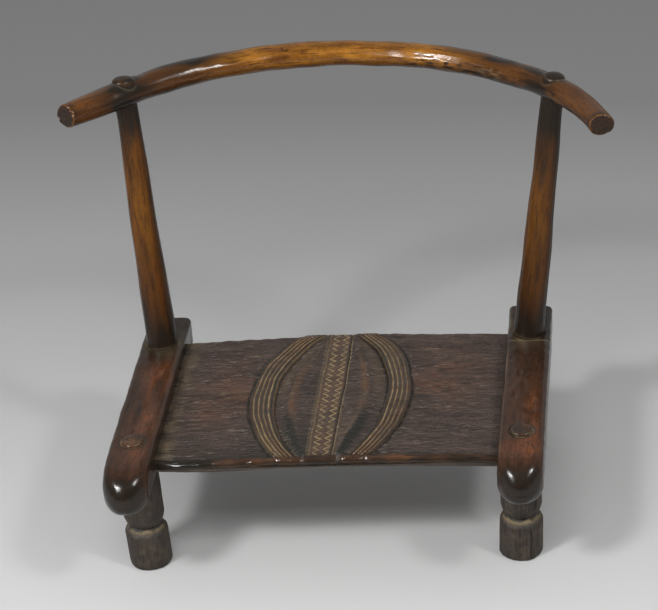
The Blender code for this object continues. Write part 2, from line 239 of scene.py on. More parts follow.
# Wood finishes: values that all the woods share
woodRules = dict(
    # Noises of the grain: density along and across the fibre, detail, roughness, levels that become 0 and 1
    grain=dict(Streak=(6, 85, 3.0, 0.55, 0.32, 0.68), Fine=(20, 300, 4.0, 0.65, 0.3, 0.7),
               Pore=(60, 760, 1.0, 0.55, 0.62, 0.74), Speck=(170, 420, 3.0, 0.7, 0.34, 0.66),
               Line=(22, 360, 3.0, 0.6, 0.53, 0.65)),
    height=dict(Fine=0.4, Speck=0.9, Pore=-1.0), tone=dict(Streak=0.45, Fine=0.25, Speck=0.3),
    poreShade=0.55, wornByTone=(0.35, 0.7), wornByPatch=(0.5, 0.6), patch=(2.0, 0.55, 0.38, 0.66),
    speckle=(900, 900, 3.0, 0.7, 0.3, 0.58), dustBySpeckle=(0.45, 0.55), dustRough=0.4, mattRough=0.5,
    bumpDistance=0.0004, wornSmooth=-0.85,
)


# A socket is linked to another socket, or takes a plain number, vector or colour
def feed(tree, socket, value):
    if isinstance(value, bpy.types.NodeSocket):
        tree.links.new(value, socket)
    else:
        socket.default_value = (*value, 1.0) if socket.type == "RGBA" else value


# One shader node with its settings and what feeds it
def addNode(tree, kind, feeds=None, **settings):
    node = tree.nodes.new(kind)
    for key, value in settings.items():
        setattr(node, key, value)
    for key, value in (feeds or {}).items():
        feed(tree, node.inputs[key], value)
    return node


# A number worked out from two inputs, each a socket or a plain number
def calc(tree, operation, first, second, clamp=False):
    feeds = {0: first, 1: second}
    return addNode(tree, "ShaderNodeMath", feeds, operation=operation, use_clamp=clamp).outputs[0]


# A base plus a weighted value
def plus(tree, base, value, weight, clamp=False):
    return calc(tree, "ADD", base, calc(tree, "MULTIPLY", value, weight), clamp)


# Sum of named sockets, each times its weight
def weighed(tree, sockets, weights):
    total = 0.0
    for name, weight in weights.items():
        total = plus(tree, total, sockets[name], weight)
    return total


# Colour mixed from two colours by a mask: 6 and 7 are the node's inputs for colours
def mixColour(tree, mask, first, second):
    return addNode(tree, "ShaderNodeMix", {0: mask, 6: first, 7: second}, data_type="RGBA").outputs[2]


# Vector times a factor for each axis
def stretched(tree, vector, factors):
    return addNode(tree, "ShaderNodeVectorMath", {0: vector, 1: factors}, operation="MULTIPLY").outputs[0]


# Value spread over 0 to 1 between two levels
def spread(tree, value, low, high, kind="SMOOTHSTEP"):
    feeds = {"Value": value, "From Min": low, "From Max": high}
    return addNode(tree, "ShaderNodeMapRange", feeds, interpolation_type=kind).outputs["Result"]


# Noise of a vector that is first stretched by a density for each axis, spread between two levels
def stretchedNoise(tree, vector, density, detail, roughness, low, high):
    vector = stretched(tree, vector, density)
    feeds = {"Vector": vector, "Scale": 1.0, "Detail": detail, "Roughness": roughness}
    noise = addNode(tree, "ShaderNodeTexNoise", feeds, noise_dimensions="3D").outputs["Fac"]
    return spread(tree, noise, low, high)


# The same, from a rule that starts with the densities along and across the fibre
def fibreNoise(tree, fibre, rule):
    along, across, *levels = rule
    return stretchedNoise(tree, fibre, (along, across, across), *levels)


# A node group with named sockets of each kind, what it is given and where its results go
def newGroup(name, inputs, outputs):
    tree = bpy.data.node_groups.new(name, "ShaderNodeTree")
    for way, sockets in (("INPUT", inputs), ("OUTPUT", outputs)):
        for kind, names in sockets.items():
            for socket in names:
                tree.interface.new_socket(socket, in_out=way, socket_type="NodeSocket" + kind)
    return tree, addNode(tree, "NodeGroupInput").outputs, addNode(tree, "NodeGroupOutput").inputs


# Grain: broad streaks, fine fibres and short dark pores that run along the fibre, and a height for bumps
def grainGroup():
    kinds = tuple(woodRules["grain"])
    tree, given, result = newGroup("woodGrain", {"Vector": ("Fibre",)}, {"Float": (*kinds, "Height")})
    made = {name: fibreNoise(tree, given["Fibre"], rule) for name, rule in woodRules["grain"].items()}
    made["Height"] = weighed(tree, made, woodRules["height"])
    for name, value in made.items():
        feed(tree, result[name], value)
    return tree


# Tone of old wood: dark to middle along the grain, light where it is worn and where light is painted on,
# nearly black where it is sooty and where shade is painted on
def toneGroup():
    inputs = {"Color": ("Dark", "Middle", "Light", "Black"), "Float": (*woodRules["grain"], "Worn", "Soot")}
    tree, given, result = newGroup("agedTone", inputs, {"Color": ("Color",)})
    share = weighed(tree, given, woodRules["tone"])
    least, most = woodRules["wornByTone"]
    rub = calc(tree, "MULTIPLY", given["Worn"], plus(tree, least, share, most), True)
    colour = mixColour(tree, share, given["Dark"], given["Middle"])
    colour = mixColour(tree, rub, colour, given["Light"])
    colour = mixColour(tree, given["Line"], colour, given["Dark"])
    pore = calc(tree, "MULTIPLY", given["Pore"], woodRules["poreShade"])
    colour = mixColour(tree, pore, colour, given["Black"])
    feed(tree, result["Color"], mixColour(tree, given["Soot"], colour, given["Black"]))
    return tree


# Dust that sits in cuts and joints, and a few painted highlights and sheens on edges: the mask is broken up
# by a fine noise
def dustAndSheenGroup():
    inputs = {"Color": ("Color", "Dust And Sheen Color"), "Float": ("Mask",), "Vector": ("Fibre",)}
    tree, given, result = newGroup("settledDustAndSheen", inputs, {"Color": ("Color",), "Float": ("Cover",)})
    least, most = woodRules["dustBySpeckle"]
    broken = plus(tree, least, fibreNoise(tree, given["Fibre"], woodRules["speckle"]), most)
    cover = calc(tree, "MULTIPLY", given["Mask"], broken, True)
    feed(tree, result["Color"], mixColour(tree, cover, given["Color"], given["Dust And Sheen Color"]))
    feed(tree, result["Cover"], cover)
    return tree


woodGrain = grainGroup()
agedTone = toneGroup()
settledDustAndSheen = dustAndSheenGroup()


# One wood: its grain, tone, and dust with painted sheen, from the shared groups, with its own colours, gloss
# and bumps
def woodFinish(name, look):
    rules = woodRules
    material = bpy.data.materials.new(name)
    material.use_nodes = True
    tree = material.node_tree
    shader = tree.nodes["Principled BSDF"].inputs

    def attribute(mark, output="Fac"):
        node = addNode(tree, "ShaderNodeAttribute", attribute_type="GEOMETRY", attribute_name=mark)
        return node.outputs[output]

    def shared(group, feeds):
        return addNode(tree, "ShaderNodeGroup", feeds, node_tree=group).outputs

    fibre = attribute("fibre", "Vector")
    rubbed, soot, dustAndSheenMark, matt = (attribute(mark) for mark in ("worn", "soot", "dust", "matt"))
    patch = stretchedNoise(tree, fibre, look["patches"], *rules["patch"])
    least, most = rules["wornByPatch"]
    worn = calc(tree, "MULTIPLY", rubbed, plus(tree, least, patch, most), True)
    grain = shared(woodGrain, {"Fibre": stretched(tree, fibre, look["grain"])})
    feeds = {key: grain[key] for key in rules["grain"]}
    feeds["Line"] = calc(tree, "MULTIPLY", grain["Line"], look["lines"])
    feeds.update({key.capitalize(): look[key] for key in ("dark", "middle", "light", "black")})
    tone = shared(agedTone, {**feeds, "Worn": worn, "Soot": soot})
    feeds = {"Color": tone["Color"], "Dust And Sheen Color": look["dust"], "Mask": dustAndSheenMark, "Fibre": fibre}
    dust = shared(settledDustAndSheen, feeds)
    feed(tree, shader["Base Color"], dust["Color"])

    rough = plus(tree, look["rough"], grain["Fine"], look["roughVary"])
    rough = plus(tree, rough, patch, look["roughPatch"])
    rough = plus(tree, rough, rubbed, -look["wornPolish"])
    rough = plus(tree, rough, dust["Cover"], rules["dustRough"], True)
    feed(tree, shader["Roughness"], plus(tree, rough, matt, rules["mattRough"], True))
    height = calc(tree, "MULTIPLY", grain["Height"], plus(tree, 1.0, rubbed, rules["wornSmooth"]))
    feeds = {"Strength": look["bump"], "Distance": rules["bumpDistance"], "Height": height}
    feed(tree, shader["Normal"], addNode(tree, "ShaderNodeBump", feeds).outputs["Normal"])
    shader["IOR"].default_value = look["ior"]
    return material


# Factor of the rail's dust and painted sheen: thicker and thinner in clouds
railUneven = varied("cloud", 0.6, 0.4)

# Side rails: dark polished wood, rubbed to orange on top
railShape = dict(
    topRound=0.0055, noseCorner=0.0095, cornerFade=(0.3, 1.5), bottomRound=0.014, noseBow=0.009,
    # Reach and bluntness
    noseTop=(0.03, 2.0), noseBottom=(0.015, 2.4), noseSide=(0.017, 2.3),
    noseTip=0.34, noseRows=26, noseStart=0.03, nosePower=0.85, tailRound=0.005, tailRows=8,
    tailRings=(0.94, 0.8, 0.6, 0.4, 0.2, 0.05), step=0.0009, cornerPoints=9, runPoints=(40, 26, 16, 26),
    lump=0.00016, lumpWaves=(0.045, 0.014), smallLump=0.5, hollow=0.0007, hollowWave=0.12, hollowLeast=0.6,
    ringDepth=0.0007, ringWidth=0.0011, postRingWidth=0.00176, pegRadius=0.0118, postRadius=0.0172,
    dents=30, dentDepth=0.0004, dentDepths=(0.2, 1.0), dentWidth=0.0028, dentWidths=(0.5, 1.4),
    dentStretch=(1, 2.2, 1), dentRows=(25, 12), dentColumns=60,
    cloudWaves=(0.018, 0.05, 0.03), blotchWaves=(0.01, 0.022, 0.01), speckWaves=(0.0035, 0.006, 0.004),
    wornInward=dict(left=0.32, right=-0.45), wornReach=dict(left=(0.205, 0.26), right=(0.1, 0.2)),
    # Marks: rows of a weight and its factors
    worn=((1.0, "top", varied("cloud", 0.67, 0.35), "wornEnd", rise("fromNose", 0.02, 0.06),
           near("wornAway", 0, 0.5)),
          (0.55, "top", "right", near("fromNose", 0.048, 0.02))),
    # Soot by the post, at the tail and round the peg; painted shade underneath and on the inner flank beside
    # the seat
    soot=((0.62, near("pastPost", 0, 0.024)), (0.45, rise("fromNose", 0.27, 0.31)),
          (0.85, rise("front", 0.3, 0.7)), (0.35, rise("inward", -0.45, -1.0)), (0.5, "below"),
          (0.45, "flank", rise("inward", 0.9, 1.0)), (0.25, rise("blotch", 0.3, 1.8)),
          (0.5, "top", rise("speck", 1.1, 2.4)), (1.0, "top", near("pastPeg", 0.0013, 0.0015))),
    dust=((0.9, "pegRing", railUneven), (0.35, "postRing", railUneven),
          # Pale on the top round the posts: painted sheen
          (0.16, "top", railUneven, near("postAway", 0.022, 0.014)),
          (0.6, "top", "right", near("fromRear", -0.0185, 0.0007)),
          # A pale line along the right rail's inner top edge: a painted highlight
          (0.3, "right", varied("cloud", 0.7, 0.3), near("inward", 0.93, 0.035), rise("up", 0.35, 0.75))),
    sootyPost=0.016,
)
railLook = dict(
    dark=(0.024, 0.0115, 0.0065), middle=(0.078, 0.034, 0.018), light=(0.205, 0.066, 0.023),
    black=(0.017, 0.013, 0.009), dust=(0.3, 0.225, 0.13), patches=(16, 30, 30), grain=(1.6, 1.0, 1.0),
    lines=0.4, rough=0.15, roughVary=0.05, roughPatch=0.05, wornPolish=0.02, bump=0.1, ior=1.36,
)


# Rounded box section, going round from its right side: four corner arcs with straight runs between them
def boxSection(half, low, high, lowRound, highRound):
    highRound = np.minimum(highRound, np.minimum(half, (high - low) / 2))
    lowRound = np.minimum(lowRound, np.minimum(half, high - low - highRound))
    over = high - highRound
    under = low + lowRound
    centres = [(half - highRound, over, highRound), (highRound - half, over, highRound),
               (lowRound - half, under, lowRound), (half - lowRound, under, lowRound)]
    arcs = []
    for k, (x, z, radius) in enumerate(centres):
        turn = np.linspace(0, math.pi / 2, railShape["cornerPoints"]) + k * math.pi / 2
        arcs.append(np.stack([x[:, None] + radius[:, None] * np.cos(turn),
                              z[:, None] + radius[:, None] * np.sin(turn)], axis=-1))
    loop = []
    for k, count in enumerate(railShape["runPoints"]):
        share = np.linspace(0, 1, count + 2)[1:-1, None]
        run = arcs[k][:, -1:] * (1 - share) + arcs[(k + 1) % 4][:, :1] * share
        loop += [arcs[k], run]
    return np.concatenate(loop, axis=1)


# Rail: a rounded box section from nose to tail, drawn in along a blunt nose and a quarter circle at the tail
def makeRail(side, material):
    s = SimpleNamespace(**railShape)
    sign = sideSign[side]
    low, high = railBox[side]
    length = high.y - low.y
    halfWidth = (high.x - low.x) / 2
    noseReach = max(s.noseTop[0], s.noseBottom[0], s.noseSide[0])
    middleCount = int((length - noseReach - s.tailRound) / s.step)
    turn = np.linspace(s.noseStart, math.pi / 2, s.noseRows)
    front = np.concatenate([noseReach * (1 - np.cos(turn) ** s.nosePower),
                            np.linspace(noseReach, length - s.tailRound, middleCount)[1:-1],
                            length - endSteps(s.tailRound, s.tailRows)[::-1]])
    tail = drawnIn(length - front, s.tailRound)
    tip = low.z + s.noseTip * (high.z - low.z)
    half = halfWidth * bluntEnd(front, *s.noseSide) - tail
    under = tip - (tip - low.z) * bluntEnd(front, *s.noseBottom) + tail
    over = tip + (high.z - tip) * bluntEnd(front, *s.noseTop) - tail
    nearNose = 1 - ramp(front / noseReach, *s.cornerFade)     # the corners grow rounder towards the nose
    section = boxSection(half, under, over, s.bottomRound, s.topRound + s.noseCorner * nearNose)
    bow = s.noseBow * (section[..., 0] / halfWidth) ** 2
    y = low.y + front[:, None] + bow * (1 - ramp(front, 0, 2 * noseReach))[:, None]
    points = np.stack([railMid[side] + section[..., 0], y, section[..., 1]], axis=-1)
    share = np.array(s.tailRings)[:, None, None]     # rings that fill the tail's end
    end = points[-1:].mean(axis=1, keepdims=True) * (1 - share) + points[-1:] * share
    points = np.concatenate([points, end])

    # Relief along the normals: lumps, a hollow top, rings round the pegs and random dents
    normal = outward(points)
    x, y, z = np.moveaxis(points, -1, 0)
    top = np.clip(normal[..., 2], 0, 1)
    inward = -sign * (x - railMid[side]) / halfWidth
    fromNose = y - low.y
    pegAway = np.hypot(x - railMid[side], y - legY["front", side])
    postAway = np.hypot(x - railMid[side], y - legY["rear", side])
    pegRing = bell(pegAway - s.pegRadius, s.ringWidth) * top
    postRing = bell(postAway - s.postRadius, s.postRingWidth) * top
    broad, small = s.lumpWaves
    height = s.lump * (ripples(points, broad, 3 + sign) + s.smallLump * ripples(points, small, 7 + sign))
    uneven = s.hollowLeast + (1 - s.hollowLeast) * ripples(points, s.hollowWave, 15 + sign)
    height -= s.hollow * top ** 3 * (1 - inward ** 2) * uneven + s.ringDepth * (pegRing + postRing)
    rng = np.random.default_rng(31 + sign)
    fromRow, toRow = s.dentRows
    for k in range(s.dents):
        spotAt = points[rng.integers(fromRow, len(points) - toRow), rng.integers(0, s.dentColumns)]
        away = np.linalg.norm((points - spotAt) / s.dentStretch, axis=-1)
        deep = s.dentDepth * rng.uniform(*s.dentDepths)
        height -= deep * bell(away, s.dentWidth * rng.uniform(*s.dentWidths))
    points = points + normal * height[..., None]

    # Measures of the marks: worn along the top, soot by the post, at the ends and outside, painted shade
    # underneath and on the inner flank, dust in the rings, painted sheen round the posts and a painted
    # highlight along the right rail's inner edge
    at = dict(
        top=top, flank=1 - top, up=normal[..., 2], below=np.clip(-normal[..., 2], 0, 1),
        front=-normal[..., 1], inward=inward, fromNose=fromNose, fromRear=y - legY["rear", side],
        pegRing=pegRing, postRing=postRing, postAway=postAway, pastPost=np.maximum(postAway - s.sootyPost, 0),
        pastPeg=pegAway - s.pegRadius, wornAway=inward - s.wornInward[side],
        wornEnd=1 - ramp(fromNose, *s.wornReach[side]), right=sign > 0,
        cloud=ripples(points, s.cloudWaves, 40 + sign), blotch=ripples(points, s.blotchWaves, 44 + sign),
        speck=ripples(points, s.speckWaves, 46 + sign))
    fibre = np.stack([y, x, z], axis=-1)
    dress(side + "Rail", side + "_side_rail", material, points, marksFrom(railShape, at), fibre)


# Factors of the seat's marks: a bell at a place across the strip, whose edges are at -1 and 1, the stretch
# where the arris is worn, and cuts that hold more or less dust
def beside(place, width):
    return lambda at: bell((at["across"] - place) * at["stripHalf"], width)


arrisStretch = near("place", 0.12, 0.62)
handmade = varied("hand", 0.9, 0.22)

# Seat: crowned board with the carved oval, its zigzag strip and the marks of the adze
seatShape = dict(
    thickness=0.013, crown=0.0055, frontTop=0.0065, frontBottom=0.005, backRound=0.003, rowStep=0.0009,
    frontRows=10, backRows=6, faceRings=(0.04, 0.35, 0.65, 0.88), underColumns=20,
    columns=dict(tongue=3, plain=36, band=48, dish=12, slope=22, strip=56),
    # Columns closer together beside the strip and outside the oval
    crowding=dict(slope=1.8, plain=1.5),
    # The oval's lines: half widths at the front, in the middle and at the back
    outer=dict(left=(0.0401, 0.086, 0.033), right=(0.0475, 0.0855, 0.033)),
    inner=dict(left=(0.0186, 0.0605, 0.0132), right=(0.026, 0.0605, 0.0132)),
    arris=dict(left=(0.015, 0.0415, 0.0123), right=(0.016, 0.0365, 0.0123)),
    strip=dict(left=(0.011, 0.0125, 0.0115), right=(0.011, 0.0125, 0.0115)),
    # How full each line is towards the front and the back: a low power makes it round, a high one slender
    fullness=dict(outer=(0.8, 0.62), inner=(0.8, 0.76), arris=(1.55, 1.75), strip=(0.8, 0.8)),
    offset=-0.0055, wobble=dict(outer=0.0006, inner=0.0006, arris=0.0006, strip=0.00024), wobbleWave=0.05,
    wobbleFade=6, ridges=5, ridgeHeight=0.0018, ridgeValley=0.0005, ridgePower=0.8, dishDepth=0.0022,
    dishPower=1.4, arrisHeight=0.0024, slopePower=1.25, fullRoom=0.016, stripHeight=0.001, teeth=24,
    toothColumns=((-0.44, 0.0), (0.46, 0.35)), toothSwing=0.27, toothReach=0.34, toothFade=0.06,
    toothSlant=0.62, toothWander=0.02, wanderWave=0.02, zigzagDepth=0.0006, zigzagWidth=0.001,
    chipDepth=0.0004, chipStart=(0.02, 0.12),
    edge=dict(left=beside(-0.97, 0.0008), right=beside(0.97, 0.001)),
    edgeGroove=dict(left=0.0004, right=0.0011),
    lineIn=((0.5, beside(-0.9, 0.0004)), (0.5, beside(0.9, 0.0004)), (0.6, beside(0, 0.0005))),
    lineDepth=0.00025, outlineAway=0.0009, outlineWidth=0.0014, outlineDepth=0.0009, innerDepth=0.0006,
    innerWidth=0.0012, hatchStep=0.0034, hatchSlant=2.2, hatchEdge=(0.1, 0.9), hatchDepth=0.0006,
    leftHatch=(0.42, 0.6), leftHatchTo=0.5, rightHatch=(0.55, 0.22), rightHatchTo=(0.3, 0.75),
    rightHatchShare=0.8,
    # Scratches: middle, place from front (-1) to back (1) and half length
    scratches=((-0.11, 0.1, 0.026), (-0.105, -0.52, 0.018), (-0.092, 0.68, 0.016), (-0.08, 0.76, 0.012),
               (0.1, 0.72, 0.018)),
    scratchWidth=0.0008, scratchFade=0.015, scratchSlant=0.03, scratchDepth=0.0002, adze=0.00029,
    adzeWaves=((0.02, 0.0034, 1), (0.009, 0.0022, 1)), shortShare=0.8, carvedAdze=0.25, waves=0.00028,
    waveSize=(0.055, 0.028, 1), marginWidth=0.017, marginEdge=0.001, marginRise=0.0004, lip=(0.0045, 0.0085),
    lipGroove=(0.0088, 0.0012), grooveDepth=0.0004, lipLine=(0.0032, 0.0024), lipWave=0.0004,
    lipWaveSize=(0.013, 0.03, 1), nickWidth=0.003, nickDepth=0.0012,
    nicks=(-0.119, -0.051, 0.016, 0.0405, 0.128), turnedBack=0.008, turnedDeep=0.03,
    turnedFrom=(0.12, 0.19), underLump=0.0003, underWaves=(0.05, 0.012, 1), handmadeWave=0.012,
    redWaves=(0.05, 0.03, 1), blotchWaves=(0.035, 0.01, 1), fleckWaves=(0.004, 0.004, 1), marginWave=0.02,
    haloWave=0.03, haloPlace=0.01, haloWidth=0.01,
    lineDust=dict(left=(0, 0.75, 0.8, 0.6, 1.0, 0.3), right=(0, 0.35, 0.6, 0.75, 0.9, 0.7)),
    lastLine=(-0.3, 0.2), speckleTo=0.55, speckleFrom=(0.3, 0.6), rubbedBy=(-1.4, 0.4), wornLip=0.95,
    wornRed=varied("red", 0.85, 0.25), grooveSoot=0.55,
    # Marks: rows of a weight and its factors
    # litWall: pale dust along one wall of each cut, partly painted light on the wall turned to the light;
    # darkWall: painted shade on the walls beside it
    litWall=((1.0, near("away", 0.0002, 0.0006)),),
    darkWall=((1.0, near("away", -0.0014, 0.0007)), (0.6, near("away", 0.0016, 0.0006))),
    wedge=((1.0, "inDish", near("depth", 0.74, 0.27), rise("place", -0.2, -0.5)),),
    rubbed=((1.0, near("x", -0.078, 0.036)), (1.0, near("x", 0.095, 0.05)), (0.35,)),
    # The lip is dark, and lighter along the middle of its rolled edge where rubbed; that lighter line is
    # partly painted light on the bead
    lipSoot=((0.86,), (-0.58, "lipLine", "rubbed"), (0.14, rise("x", -0.09, -0.15))),
    dust=((1.0, "inBand", "strength", handmade, near("toCut", 0, 0.0006)), (0.28, "scratch", "plain"),
          (1.05, "inStrip", "litWall", handmade), (0.08, "inStrip", "chip"), (0.15, "inStrip", "lineIn"),
          (0.3, "hatch"), (0.02, "inBand"), (0.03, "inStrip"), (0.6, "middle", beside(-1.02, 0.0006)),
          (0.3, "middle", beside(-1.22, 0.0005)), (0.55, "middle", beside(1.1, 0.0006)),
          (1.0, "leftMargin", varied("marginCloud", 0.09, 0.06)), (0.07, "plain", rise("streak", 0.9, 2.4)),
          (0.16, "speckled", rise("fleck", 0.2, 1.2)),
          (0.09, "inDish", near("depth", 0.4, 0.26), rise("place", -0.3, 0.2)),
          (0.06, "inSlope", "right", rise("place", -0.1, -0.5)),
          (0.09, "inDish", rise("depth", 0.8, 1.0), arrisStretch),
          (0.09, "inSlope", rise("depth", 0.3, 0.0), arrisStretch)),
    worn=((0.74, "inDish", rise("depth", 0.76, 1.0), arrisStretch),
          (0.74, "inSlope", rise("depth", 0.38, 0.0), arrisStretch), (1.0, "inBand"), (0.55, "inStrip"),
          (0.62, "plain", near("x", -0.11, 0.038), near("place", 0.08, 0.45)),
          (0.54, "plain", near("x", 0.11, 0.042), near("place", 0.3, 0.45))),
    soot=((0.18, "inDish", "left"), (0.12, "inDish", "right"), (1.05, "wedge"),
          (0.3, "inDish", "fromInside", rise("place", -0.2, -0.7)),
          (0.3, "inSlope", "left", rise("place", -0.3, -0.6)), (0.3, "halo", varied("haloCloud", 0.6, 0.4)),
          # Painted shade in the groove at the strip's right edge and in the groove round the oval; darker
          # next to the rails
          (0.9, "middle", beside(0.97, 0.001)), (1.0, "outline"), (0.5, rise("toRail", 0.004, 0)),
          (0.22, "leftMargin"), (0.14, "inSlope"), (-0.14, "inSlope", "right", rise("place", -0.1, -0.5)),
          # Painted shade on the dark walls of the zigzag cuts
          (0.1, "inBand"), (0.6, "inStrip", "darkWall"), (0.2, "inStrip", "chip"),
          (0.72, "inBand", near("toCut", 0.0018, 0.0008)),
          # Painted shade along the inner edge of the bands, as under an undercut, and in the dish just inside
          # it
          (0.8, "inBand", near("toBandEnd", 0.0017, 0.0009)),
          (1.0, "inDish", near("toInner", 0.0012, 0.0016), rise("place", -0.35, 0.1)),
          (0.52, "plain", near("place", -1.0, 0.24), rise("x", 0.02, -0.1)),
          (0.22, "plain", rise("blotch", 0.4, 1.8))),
    # Under the board and on the lower half of its front face the wood is darker: painted shade
    matt=((0.8, "wedge"),), below=dict(dust=0.05, worn=0.0, soot=0.35, matt=0.0),
)
seatLook = dict(
    dark=(0.031, 0.0205, 0.017), middle=(0.108, 0.071, 0.057), light=(0.17, 0.068, 0.028),
    black=(0.015, 0.0135, 0.0095), dust=(0.4, 0.292, 0.145), patches=(30, 20, 20), grain=(2.0, 1.0, 1.0),
    lines=0.95, rough=0.36, roughVary=0.08, roughPatch=0.04, wornPolish=0.32, bump=0.95, ior=1.4,
)


# Half width of one of the oval's lines: a full bow from the front edge (-1) to the back edge (1)
def ovalLine(name, side, along):
    front, middle, back = seatShape[name][side]
    ends = front + (back - front) * (along + 1) / 2
    frontPower, backPower = seatShape["fullness"][name]
    power = np.where(along > 0, backPower, frontPower)
    return ends + (middle - ends) * np.maximum(1 - along ** 2, 0) ** power


# Seat: for each row from front to back, columns follow the oval's lines across the top and return underneath
def makeSeat(material):
    s = SimpleNamespace(**seatShape)
    low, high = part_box("seat_panel")
    midX = (low.x + high.x) / 2
    end = (high.x - low.x) / 2
    reach = railBox["right"][0].x - midX
    skew = stagger / halfSpacing
    front = low.y + skew * end
    back = high.y - skew * end
    top = low.z + s.thickness

    rowCount = int((back - front) / s.rowStep)
    y = np.concatenate([front + endSteps(s.frontTop, s.frontRows),
                        np.linspace(front + s.frontTop, back - s.backRound, rowCount)[1:-1],
                        back - endSteps(s.backRound, s.backRows)[::-1]])
    along = 2 * (y - front) / (back - front) - 1
    tail = drawnIn(back - y, s.backRound)
    drop = drawnIn(y - front, s.frontTop) + tail
    lift = drawnIn(y - front, s.frontBottom) + tail
    fade = 1 - drop / s.frontTop

    wobbleAt = np.stack([y, y * 0, y * 0], axis=-1)
    inOrder = ("outer", "inner", "arris", "strip")
    lines = {}
    for k, name in enumerate(inOrder):
        for side, sign in sideSign.items():
            wobble = s.wobble[name] * ripples(wobbleAt, s.wobbleWave, 60 + 2 * k + sign)
            wobble *= np.maximum(1 - along ** s.wobbleFade, 0)
            lines[name, side] = s.offset + sign * ovalLine(name, side, along) + wobble
    knots = [0 * y + end, 0 * y + reach] + [lines[name, "right"] for name in inOrder]
    knots += [lines[name, "left"] for name in inOrder[::-1]] + [0 * y - reach, 0 * y - end]
    zones = ["tongue", "plain", "band", "dish", "slope", "strip", "slope", "dish", "band", "plain", "tongue"]
    stripAt = zones.index("strip")
    x = []
    depth = []     # share of the way through a zone, from the outside in
    zone = []
    side = []     # 1 right of the strip, -1 left of it
    for k, name in enumerate(zones):
        count = s.columns[name]
        power = s.crowding.get(name, 1.0)
        share = np.arange(count) / count
        share = 1 - (1 - share) ** power if k < stripAt else share ** power
        x.append(knots[k][:, None] * (1 - share) + knots[k + 1][:, None] * share)
        depth.append(share if k <= stripAt else 1 - share)
        zone += [name] * count
        side += [int(np.sign(stripAt - k))] * count
    x = np.concatenate(x + [np.full((len(y), 1), -end)], axis=1)
    depth = np.broadcast_to(np.concatenate(depth + [[0.0]]), x.shape)
    zone = np.array(zone + ["tongue"])
    side = np.array(side + [-1])
    isLeft = side < 0
    isRight = side > 0
    yAt = np.broadcast_to(y[:, None], x.shape)
    place = np.broadcast_to(along[:, None], x.shape)
    plane = np.stack([x, yAt, x * 0], axis=-1)
    fromFront = yAt - front
    inBand, inDish, inSlope, inStrip = (zone == name for name in ("band", "dish", "slope", "strip"))
    carved = inBand | inStrip
    middle = inStrip | inSlope

    def bySide(values):
        return np.where(isRight, values["right"], values["left"])

    def lineAt(name):
        return bySide({key: lines[name, key][:, None] for key in sideSign})

    def crownAt(x):
        return s.crown * np.maximum(1 - (x / reach) ** 2, 0)

    # Relief of the bands, with their cuts and hatching, and of the dish, shallow where it narrows
    ridge = np.abs(np.sin(math.pi * s.ridges * depth)) ** s.ridgePower
    relief = inBand * (s.ridgeValley + (s.ridgeHeight - s.ridgeValley) * ridge)
    room = np.clip(np.abs(lineAt("inner") - lineAt("strip")) / s.fullRoom, 0, 1)
    bowl = -s.dishDepth + (s.dishDepth + s.arrisHeight) * depth ** s.dishPower
    relief += inDish * room * bowl + inSlope * room * s.arrisHeight * (1 - depth) ** s.slopePower
    order = np.rint(s.ridges * depth).astype(int)     # which cut between ridges is nearest, and how far it is
    wide = np.abs(lineAt("outer") - lineAt("inner"))
    toCut = np.abs(s.ridges * depth - order) * wide / s.ridges
    fromDepth, toDepth = s.rightHatchTo
    hatch = inBand * isLeft * ramp(-place, *s.leftHatch) * (depth < s.leftHatchTo)
    rightHatch = bell(place - s.rightHatch[0], s.rightHatch[1]) * (depth > fromDepth) * (depth < toDepth)
    hatch = hatch + s.rightHatchShare * inBand * isRight * rightHatch
    cutWave = np.cos(tau * (yAt / s.hatchStep + s.hatchSlant * depth))
    hatch = np.clip(hatch, 0, 1) * ramp(cutWave, *s.hatchEdge)
    relief -= s.hatchDepth * hatch

    # Strip: two columns of zigzag cuts with chips between the teeth, border lines and grooves at its edges
    cut, litWall, darkWall, chip, outline, scratch, nick = np.zeros((7, *x.shape))
    stripMid = (lines["strip", "right"] + lines["strip", "left"])[:, None] / 2
    stripHalf = (lines["strip", "right"] - lines["strip", "left"])[:, None] / 2
    across = (x - stripMid) / stripHalf
    turns = s.teeth * fromFront / (back - front) + s.toothWander * ripples(plane, s.wanderWave, 71)
    for column, lead in s.toothColumns:
        line = column + s.toothSwing * zigzag(turns + lead)
        away = (across - line) * stripHalf * s.toothSlant
        cut = np.maximum(cut, np.clip(1 - np.abs(away) / s.zigzagWidth, 0, 1))
        litWall = np.maximum(litWall, markFrom(s.litWall, {"away": away}))
        darkWall = np.maximum(darkWall, markFrom(s.darkWall, {"away": away}))
        within = ramp(s.toothReach - np.abs(across - column), 0.0, s.toothFade)
        chip = np.maximum(chip, within * ramp((across - line) * np.sign(column), *s.chipStart))
    strip = {"across": across, "stripHalf": stripHalf}
    lineIn = markFrom(s.lineIn, strip)
    relief += inStrip * (s.stripHeight - s.zigzagDepth * cut - s.chipDepth * chip - s.lineDepth * lineIn)
    for name, sign in sideSign.items():
        relief -= middle * s.edgeGroove[name] * s.edge[name](strip)
        outside = x - lines["outer", name][:, None] - sign * s.outlineAway
        outline = np.maximum(outline, bell(outside, s.outlineWidth))
        relief -= inDish * s.innerDepth * bell(x - lines["inner", name][:, None], s.innerWidth)
    relief -= s.outlineDepth * outline
    for atX, scratchPlace, half in s.scratches:
        scratchY = front + (scratchPlace + 1) / 2 * (back - front) + s.scratchSlant * (x - atX)
        reached = ramp(half - np.abs(x - atX), 0, s.scratchFade)
        scratch = np.maximum(scratch, bell(yAt - scratchY, s.scratchWidth) * reached)
    relief -= s.scratchDepth * scratch

